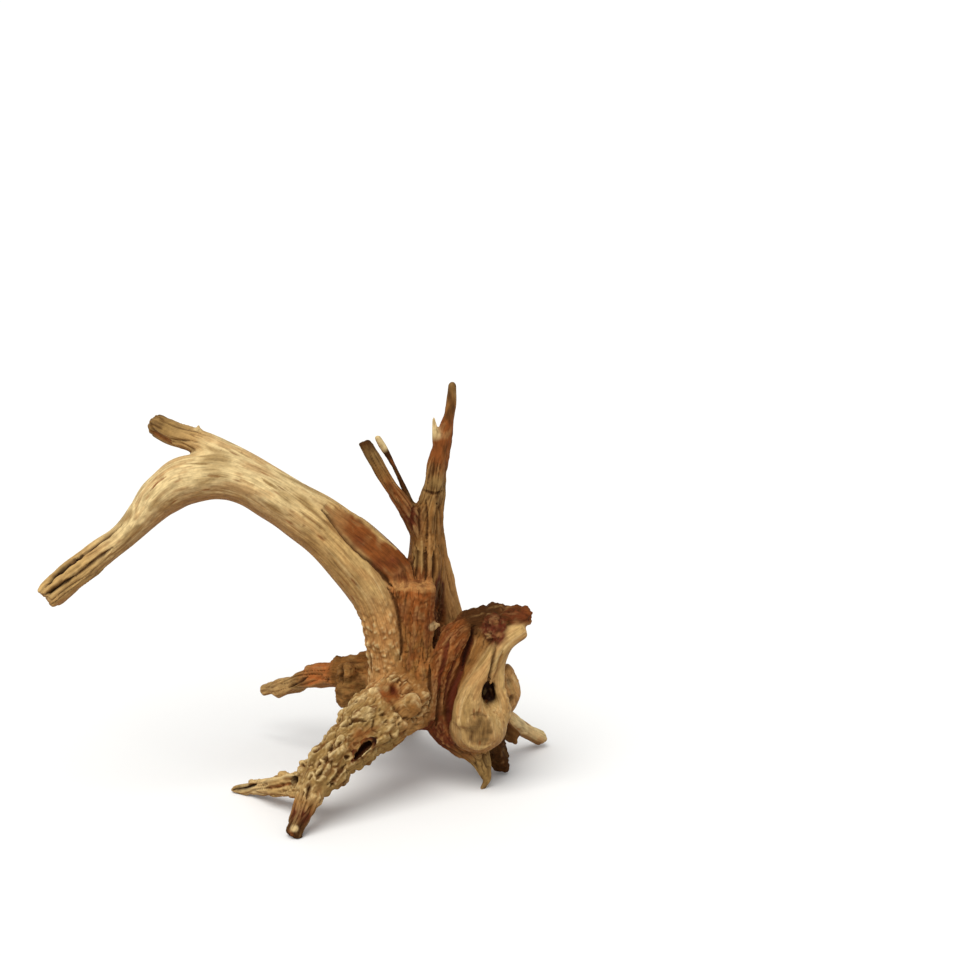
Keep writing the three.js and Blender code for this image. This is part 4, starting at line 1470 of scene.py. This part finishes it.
def bisect(bm, faces, place, direction, **options):
    """Cuts the given faces along a plane. Gives the edges on it, and the faces that it made."""
    edges = {edge for face in faces for edge in face.edges}
    corners = {vertex for face in faces for vertex in face.verts}
    result = bmesh.ops.bisect_plane(
        bm, geom=[*faces, *edges, *corners], plane_co=Vector(place) * MM, plane_no=direction, **options
    )
    on_plane = [item for item in result["geom_cut"] if isinstance(item, bmesh.types.BMEdge)]
    made = [item for item in result["geom"] if isinstance(item, bmesh.types.BMFace)]
    return on_plane, made


# %% Cut the skin at the forks and at the ground
GROUND_REACH = 0.5
bm = bmesh.new()
bm.from_mesh(wood.data)
branch_layer = bm.faces.layers.int.new("branch")
skin_faces = list(bm.faces)
skin_centres = centres_of(skin_faces)
cut_edges = 0
fresh = []
for fork in DISC_FORKS + WALL_FORKS:
    near = {skin_faces[index] for index in np.flatnonzero(is_near(skin_centres, *fork))}
    fresh = [face for face in fresh if face.is_valid]
    if fresh:
        near.update(itertools.compress(fresh, is_near(centres_of(fresh), *fork)))
    on_plane, made = bisect(bm, [face for face in near if face.is_valid], fork[0], fork[1])
    for edge in on_plane:
        edge.seam = True
    cut_edges += len(on_plane)
    fresh.extend(made)
low_faces = [
    face for face in bm.faces if min(vertex.co.z for vertex in face.verts) < GROUND_REACH * MM
]
bisect(bm, low_faces, (0, 0, 0), (0, 0, 1), clear_inner=True)
print(cut_edges, "edges along the cuts")

# %% Flood each branch
def flood(start, number, owners):
    """Gives a branch's number to all faces that can be reached without crossing a seam."""
    owners[start] = number
    front = [start]
    while front:
        face = front.pop()
        for edge in face.edges:
            if edge.seam:
                continue
            for other in edge.link_faces:
                if other not in owners:
                    owners[other] = number
                    front.append(other)


bm.faces.ensure_lookup_table()
middles = centres_of(bm.faces)
owners = {}
for number, (name, (seed_point, _)) in enumerate(BRANCHES.items()):
    nearest = int(((middles - np.array(seed_point)) ** 2).sum(axis=1).argmin())
    if bm.faces[nearest] in owners:
        raise RuntimeError(f"{name} isn't parted from {list(BRANCHES)[owners[bm.faces[nearest]]]}")
    flood(bm.faces[nearest], number, owners)
left_over = [face for face in bm.faces if face not in owners]
print(len(left_over), "faces belong to no branch")
for face, number in owners.items():
    face.material_index = number
    face[branch_layer] = number
bmesh.ops.delete(bm, geom=left_over, context="FACES")
bm.to_mesh(wood.data)
bm.free()
del owners, middles

# %% [markdown]
# The finish
#
# All five finishes are dry, worn wood, so they share two shader node groups and differ in how
# strongly they use them. The first group draws fibres finer than the carving, from the place in the
# straight limb. The second one mixes the painted colour with what lies on it: light fibres, dark
# fibres, streaks, specks, and painted shade and grime in the hollows. A group gives out only
# colours and heights, and each material keeps its own shader, where the plain values are set.

# %% Shader helpers
def new_group(name, inputs, outputs):
    """An empty shader group with named sockets, and its two end nodes."""
    tree = bpy.data.node_groups.new(name, "ShaderNodeTree")
    for label, kind, value in inputs:
        socket = tree.interface.new_socket(label, in_out="INPUT", socket_type=kind)
        if value is not None:
            socket.default_value = value
    for label, kind in outputs:
        tree.interface.new_socket(label, in_out="OUTPUT", socket_type=kind)
    return tree, tree.nodes.new("NodeGroupInput"), tree.nodes.new("NodeGroupOutput")


def feed(tree, socket, value):
    """Links a socket to another one, or sets its value."""
    if isinstance(value, bpy.types.NodeSocket):
        tree.links.new(value, socket)
    else:
        socket.default_value = value


def maths(tree, operation, *values):
    node = tree.nodes.new("ShaderNodeMath")
    node.operation = operation
    for socket, value in zip(node.inputs, values):
        feed(tree, socket, value)
    return node.outputs[0]


def remap(tree, value, low, high, to_low=0.0, to_high=1.0):
    node = tree.nodes.new("ShaderNodeMapRange")
    for label, setting in (
        ("Value", value), ("From Min", low), ("From Max", high), ("To Min", to_low), ("To Max", to_high)
    ):
        feed(tree, node.inputs[label], setting)
    return node.outputs["Result"]


def mix_colours(tree, amount, first, second):
    node = tree.nodes.new("ShaderNodeMix")
    node.data_type = "RGBA"
    for socket, value in zip((node.inputs[0], node.inputs[6], node.inputs[7]), (amount, first, second)):
        feed(tree, socket, value)
    return node.outputs[2]


def noise_node(tree, place, scale, detail, roughness):
    node = tree.nodes.new("ShaderNodeTexNoise")
    feed(tree, node.inputs["Vector"], place)
    for label, value in (("Scale", scale), ("Detail", detail), ("Roughness", roughness)):
        feed(tree, node.inputs[label], value)
    return node.outputs["Fac"]


def stretch(tree, values, amounts):
    """Multiplies a place or a colour, each of its three values by its own amount."""
    node = tree.nodes.new("ShaderNodeVectorMath")
    node.operation = "MULTIPLY"
    feed(tree, node.inputs[0], values)
    feed(tree, node.inputs[1], amounts)
    return node.outputs[0]


# %% Build the fibre group
FIBRES_PER_METRE = 1500.0
FIBRE_STRETCH = 0.045


def build_fibres():
    """Fine lines along the grain, from 0 to 1, that fade out where limbs meet."""
    tree, given, gives = new_group(
        "wood_fibres",
        [
            ("Grain", "NodeSocketVector", None), ("Trust", "NodeSocketFloat", 1.0),
            ("Scale", "NodeSocketFloat", 1.0),
        ],
        [("Lines", "NodeSocketFloat")],
    )
    drawn_out = stretch(tree, given.outputs["Grain"], (1.0, 1.0, FIBRE_STRETCH))
    scale = maths(tree, "MULTIPLY", given.outputs["Scale"], FIBRES_PER_METRE)
    wave = noise_node(tree, drawn_out, scale, detail=3.0, roughness=0.65)
    sharp = remap(tree, wave, 0.32, 0.68)
    centred = maths(tree, "SUBTRACT", sharp, 0.5)
    faded = maths(tree, "MULTIPLY", centred, given.outputs["Trust"])
    feed(tree, gives.inputs["Lines"], maths(tree, "ADD", faded, 0.5))
    return tree


fibre_group = build_fibres()
print("fibres are about", round(1000 / FIBRES_PER_METRE, 2), "mm wide")

# %% Build the weathering group
SPECKS_PER_METRE = 900.0
LIGHT_FIBRE = (1.5, 1.48, 1.42)
DARK_FIBRE = (0.42, 0.36, 0.28)


def build_weathering():
    """The painted colour with light and dark fibres, streaks, specks, and painted shade and grime in the
    hollows, and its height.
    """
    tree, given, gives = new_group(
        "weathered_wood",
        [
            ("Tone", "NodeSocketColor", None), ("Lines", "NodeSocketFloat", 0.5),
            ("Streak", "NodeSocketFloat", 0.0), ("Hollow", "NodeSocketFloat", 0.0),
            ("Place", "NodeSocketVector", None), ("Contrast", "NodeSocketFloat", 0.5),
            ("Specks", "NodeSocketFloat", 0.5),
        ],
        [("Color", "NodeSocketColor"), ("Height", "NodeSocketFloat")],
    )
    lines = given.outputs["Lines"]
    contrast = given.outputs["Contrast"]
    light = maths(tree, "MULTIPLY", remap(tree, lines, 0.55, 1.0), contrast)
    dark = maths(tree, "MULTIPLY", remap(tree, lines, 0.45, 0.0), contrast)
    tone = given.outputs["Tone"]
    lighter = stretch(tree, tone, LIGHT_FIBRE)
    darker = stretch(tree, tone, DARK_FIBRE)
    colour = mix_colours(tree, light, tone, lighter)
    colour = mix_colours(tree, dark, colour, darker)
    streaks = remap(tree, given.outputs["Streak"], -0.1, -0.7, 0.0, 0.6)
    colour = mix_colours(tree, maths(tree, "MULTIPLY", streaks, contrast), colour, darker)
    fine = noise_node(tree, given.outputs["Place"], SPECKS_PER_METRE, detail=4.0, roughness=0.7)
    specks = maths(tree, "MULTIPLY", remap(tree, fine, 0.46, 0.3), given.outputs["Specks"])
    colour = mix_colours(tree, specks, colour, darker)
    # Painted shade and grime: the hollows are mixed towards the darkest paint
    hollow_shade_and_grime = remap(tree, given.outputs["Hollow"], 0.2, 0.8, 0.0, 0.5)
    colour = mix_colours(tree, hollow_shade_and_grime, colour, (*PAINTS["deep_shade"], 1.0))
    feed(tree, gives.inputs["Color"], colour)
    grains = maths(tree, "MULTIPLY", fine, given.outputs["Specks"])
    feed(tree, gives.inputs["Height"], maths(tree, "ADD", lines, grains))
    return tree


weathering_group = build_weathering()
print("shared groups:", fibre_group.name, "and", weathering_group.name)

# %% [markdown]
# Five finishes
#
# Pale wood is polished and nearly smooth, so its fibres are soft and it shines a little. Bark wood
# is dusty and speckled. Grey wood has the strongest fibres, dark wood the weakest, and pitted wood
# is pale on its upward ridges, where a highlight is painted into its colour. Polished places are
# less rough than the rest, on every finish.

# %% Mix the five materials
BUMP_DISTANCE = 0.25 * MM
SPECULAR_LEVEL = 0.06


def attribute(tree, name, output):
    node = tree.nodes.new("ShaderNodeAttribute")
    node.attribute_name = name
    return node.outputs[output]


def place_group(tree, group, **inputs):
    node = tree.nodes.new("ShaderNodeGroup")
    node.node_tree = group
    for label, value in inputs.items():
        feed(tree, node.inputs[label], value)
    return node


def wood_finish(name, contrast, specks, polished, dull, bump):
    """A dry wood. polished and dull are the roughness of its smoothest and of its roughest places."""
    material = bpy.data.materials.new(name)
    material.use_nodes = True
    tree = material.node_tree
    shader = tree.nodes["Principled BSDF"]
    fibres = place_group(
        tree, fibre_group,
        Grain=attribute(tree, "grain", "Vector"), Trust=attribute(tree, "grain_trust", "Fac"),
    )
    place = tree.nodes.new("ShaderNodeTexCoord").outputs["Object"]
    weathered = place_group(
        tree, weathering_group,
        Tone=attribute(tree, "tone", "Color"), Lines=fibres.outputs["Lines"],
        Streak=attribute(tree, "streak", "Fac"), Hollow=attribute(tree, "hollow", "Fac"),
        Place=place, Contrast=contrast, Specks=specks,
    )
    feed(tree, shader.inputs["Base Color"], weathered.outputs["Color"])
    polish = attribute(tree, "polish", "Fac")
    feed(tree, shader.inputs["Roughness"], remap(tree, polish, 0.0, 1.0, dull, polished))
    relief = tree.nodes.new("ShaderNodeBump")
    relief.inputs["Strength"].default_value = bump
    relief.inputs["Distance"].default_value = BUMP_DISTANCE
    feed(tree, relief.inputs["Height"], weathered.outputs["Height"])
    feed(tree, shader.inputs["Normal"], relief.outputs["Normal"])
    shader.inputs["Specular IOR Level"].default_value = SPECULAR_LEVEL
    return material


FINISHES = {
    "pale_wood": wood_finish("pale_wood", 0.5, 0.2, 0.5, 0.8, 0.4),
    "bark_wood": wood_finish("bark_wood", 0.5, 0.3, 0.55, 0.85, 0.5),
    "grey_wood": wood_finish("grey_wood", 0.6, 0.25, 0.55, 0.85, 0.5),
    "dark_wood": wood_finish("dark_wood", 0.4, 0.3, 0.6, 0.85, 0.5),
    "pitted_wood": wood_finish("pitted_wood", 0.5, 0.3, 0.6, 0.9, 0.5),
}
print("finishes:", ", ".join(FINISHES))

# %% [markdown]
# Fifteen finished pieces
#
# The skin falls apart into its branches by their face numbers. Each branch is closed at its forks
# and at its foot, takes over the smooth shading of the whole skin, so that no fork shows as a line,
# and stands for the frame's node of the same name. The burl is parted from the crown by two cuts
# that meet in a corner, so its rim is no flat loop: one edge down the corner splits it in two.

# %% Separate the branches
bpy.ops.object.select_all(action="DESELECT")
for _, finish in BRANCHES.values():
    wood.data.materials.append(FINISHES[finish])
bpy.context.view_layer.objects.active = wood
wood.select_set(True)
bpy.ops.object.mode_set(mode="EDIT")
bpy.ops.mesh.separate(type="MATERIAL")
bpy.ops.object.mode_set(mode="OBJECT")
separated = [piece for piece in bpy.context.selected_objects if piece.type == "MESH"]
print(len(separated), "pieces")

# %% Close the cut ends of a piece
# Where the burl's two straight cuts cross, an upright line in millimetres
CORNER_LINE = np.array([73.5, 7.0])
CORNER_SLACK = 1.0
CORNER_LENGTH = 10.0
CORNER_TOP = 95.0


def corner_points(bm):
    """The two rim points where the burl's two cuts meet, or none."""
    rim = {vertex for edge in bm.edges if edge.is_boundary for vertex in edge.verts}
    close = [
        vertex for vertex in rim
        if np.abs(np.array(vertex.co[:2]) / MM - CORNER_LINE).max() < CORNER_SLACK
        and vertex.co.z < CORNER_TOP * MM
    ]
    close.sort(key=lambda vertex: vertex.co.z)
    if not close or close[-1].co.z - close[0].co.z < CORNER_LENGTH * MM:
        return []
    return [close[0], close[-1]]


def close_openings(mesh):
    """Fills the cut ends, and gives the numbers of the new faces."""
    bm = bmesh.new()
    bm.from_mesh(mesh)
    ends = corner_points(bm)
    if ends:
        bmesh.ops.contextual_create(bm, geom=ends)
    rims = [edge for edge in bm.edges if edge.is_boundary or edge.is_wire]
    caps = bmesh.ops.holes_fill(bm, edges=rims, sides=0)["faces"]
    pieces = bmesh.ops.triangulate(bm, faces=caps)["faces"]
    bm.faces.index_update()
    numbers = [face.index for face in pieces]
    still_open = sum(not edge.is_manifold for edge in bm.edges)
    bm.to_mesh(mesh)
    bm.free()
    return numbers, still_open


# %% Shade a piece as the whole skin was shaded
def take_whole_normals(mesh, cap_numbers):
    """Shades a piece as the whole skin was shaded. The caps keep their own flat shading."""
    caps = np.zeros(len(mesh.polygons), bool)
    caps[cap_numbers] = True
    mesh.polygons.foreach_set("use_smooth", ~caps)
    sizes = np.empty(len(mesh.polygons), np.int32)
    mesh.polygons.foreach_get("loop_total", sizes)
    corners = np.empty(len(mesh.loops), np.int32)
    mesh.loops.foreach_get("vertex_index", corners)
    whole = np.empty(len(mesh.vertices) * 3, np.float32)
    mesh.attributes["whole_normal"].data.foreach_get("vector", whole)
    shading = whole.reshape(-1, 3)[corners]
    shading[np.repeat(caps, sizes)] = 0
    mesh.normals_split_custom_set(shading)
    mesh.attributes.remove(mesh.attributes["whole_normal"])


# %% Close, shade and hand over every piece
for piece in separated:
    number = piece.data.attributes["branch"].data[0].value
    name = list(BRANCHES)[number]
    finish = BRANCHES[name][1]
    piece.data.attributes.remove(piece.data.attributes["branch"])
    piece.name = piece.data.name = f"{name}_wood"
    cap_numbers, still_open = close_openings(piece.data)
    take_whole_normals(piece.data, cap_numbers)
    piece.data.materials.clear()
    piece.data.materials.append(FINISHES[finish])
    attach(piece, "root")
    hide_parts(name)
    triangles = sum(len(face.vertices) - 2 for face in piece.data.polygons)
    print(piece.name, triangles, "triangles;", still_open, "open edges")

# %% [markdown]
# Floor and light
#
# The photograph is lit softly from above and a little from the left, against white. A large pale
# floor, a bright surround and one wide lamp give that: the surround fills the shadows, and the lamp
# brings out the ridges. A sun is used for the lamp, because it shines as strongly on the tip of the
# arch as on the feet, and a wide angle softens its shadows.

# %% Lay the floor and hang the lamp
FLOOR_REACH = 40.0
FLOOR_COLOUR = (0.82, 0.82, 0.815, 1)
FLOOR_ROUGHNESS = 0.9
LAMP_STRENGTH = 2.7
LAMP_SPREAD = 50
LAMP_TURN = (30, 0, -25)
LAMP_COLOUR = (1.0, 0.99, 0.96)
SURROUND_COLOUR = (1, 1, 1, 1)
SURROUND_STRENGTH = 0.58


def lay_floor():
    mesh = bpy.data.meshes.new("floor")
    bm = bmesh.new()
    bmesh.ops.create_grid(bm, x_segments=1, y_segments=1, size=FLOOR_REACH)
    bm.to_mesh(mesh)
    bm.free()
    material = bpy.data.materials.new("pale_floor")
    material.use_nodes = True
    shader = material.node_tree.nodes["Principled BSDF"]
    shader.inputs["Base Color"].default_value = FLOOR_COLOUR
    shader.inputs["Roughness"].default_value = FLOOR_ROUGHNESS
    mesh.materials.append(material)
    floor = bpy.data.objects.new("floor", mesh)
    bpy.context.scene.collection.objects.link(floor)


def hang_lamp():
    """A wide far lamp that shines evenly on everything. Its turn is its tilt from straight down."""
    lamp_data = bpy.data.lights.new("window", "SUN")
    lamp_data.energy = LAMP_STRENGTH
    lamp_data.angle = math.radians(LAMP_SPREAD)
    lamp_data.color = LAMP_COLOUR
    lamp = bpy.data.objects.new("window", lamp_data)
    lamp.rotation_euler = [math.radians(angle) for angle in LAMP_TURN]
    bpy.context.scene.collection.objects.link(lamp)


def light_surround():
    world = bpy.data.worlds.new("surround")
    world.use_nodes = True
    background = world.node_tree.nodes["Background"]
    background.inputs["Color"].default_value = SURROUND_COLOUR
    background.inputs["Strength"].default_value = SURROUND_STRENGTH
    bpy.context.scene.world = world


lay_floor()
hang_lamp()
light_surround()
bpy.context.scene.view_settings.view_transform = "Standard"
print("one wide lamp and a white surround")
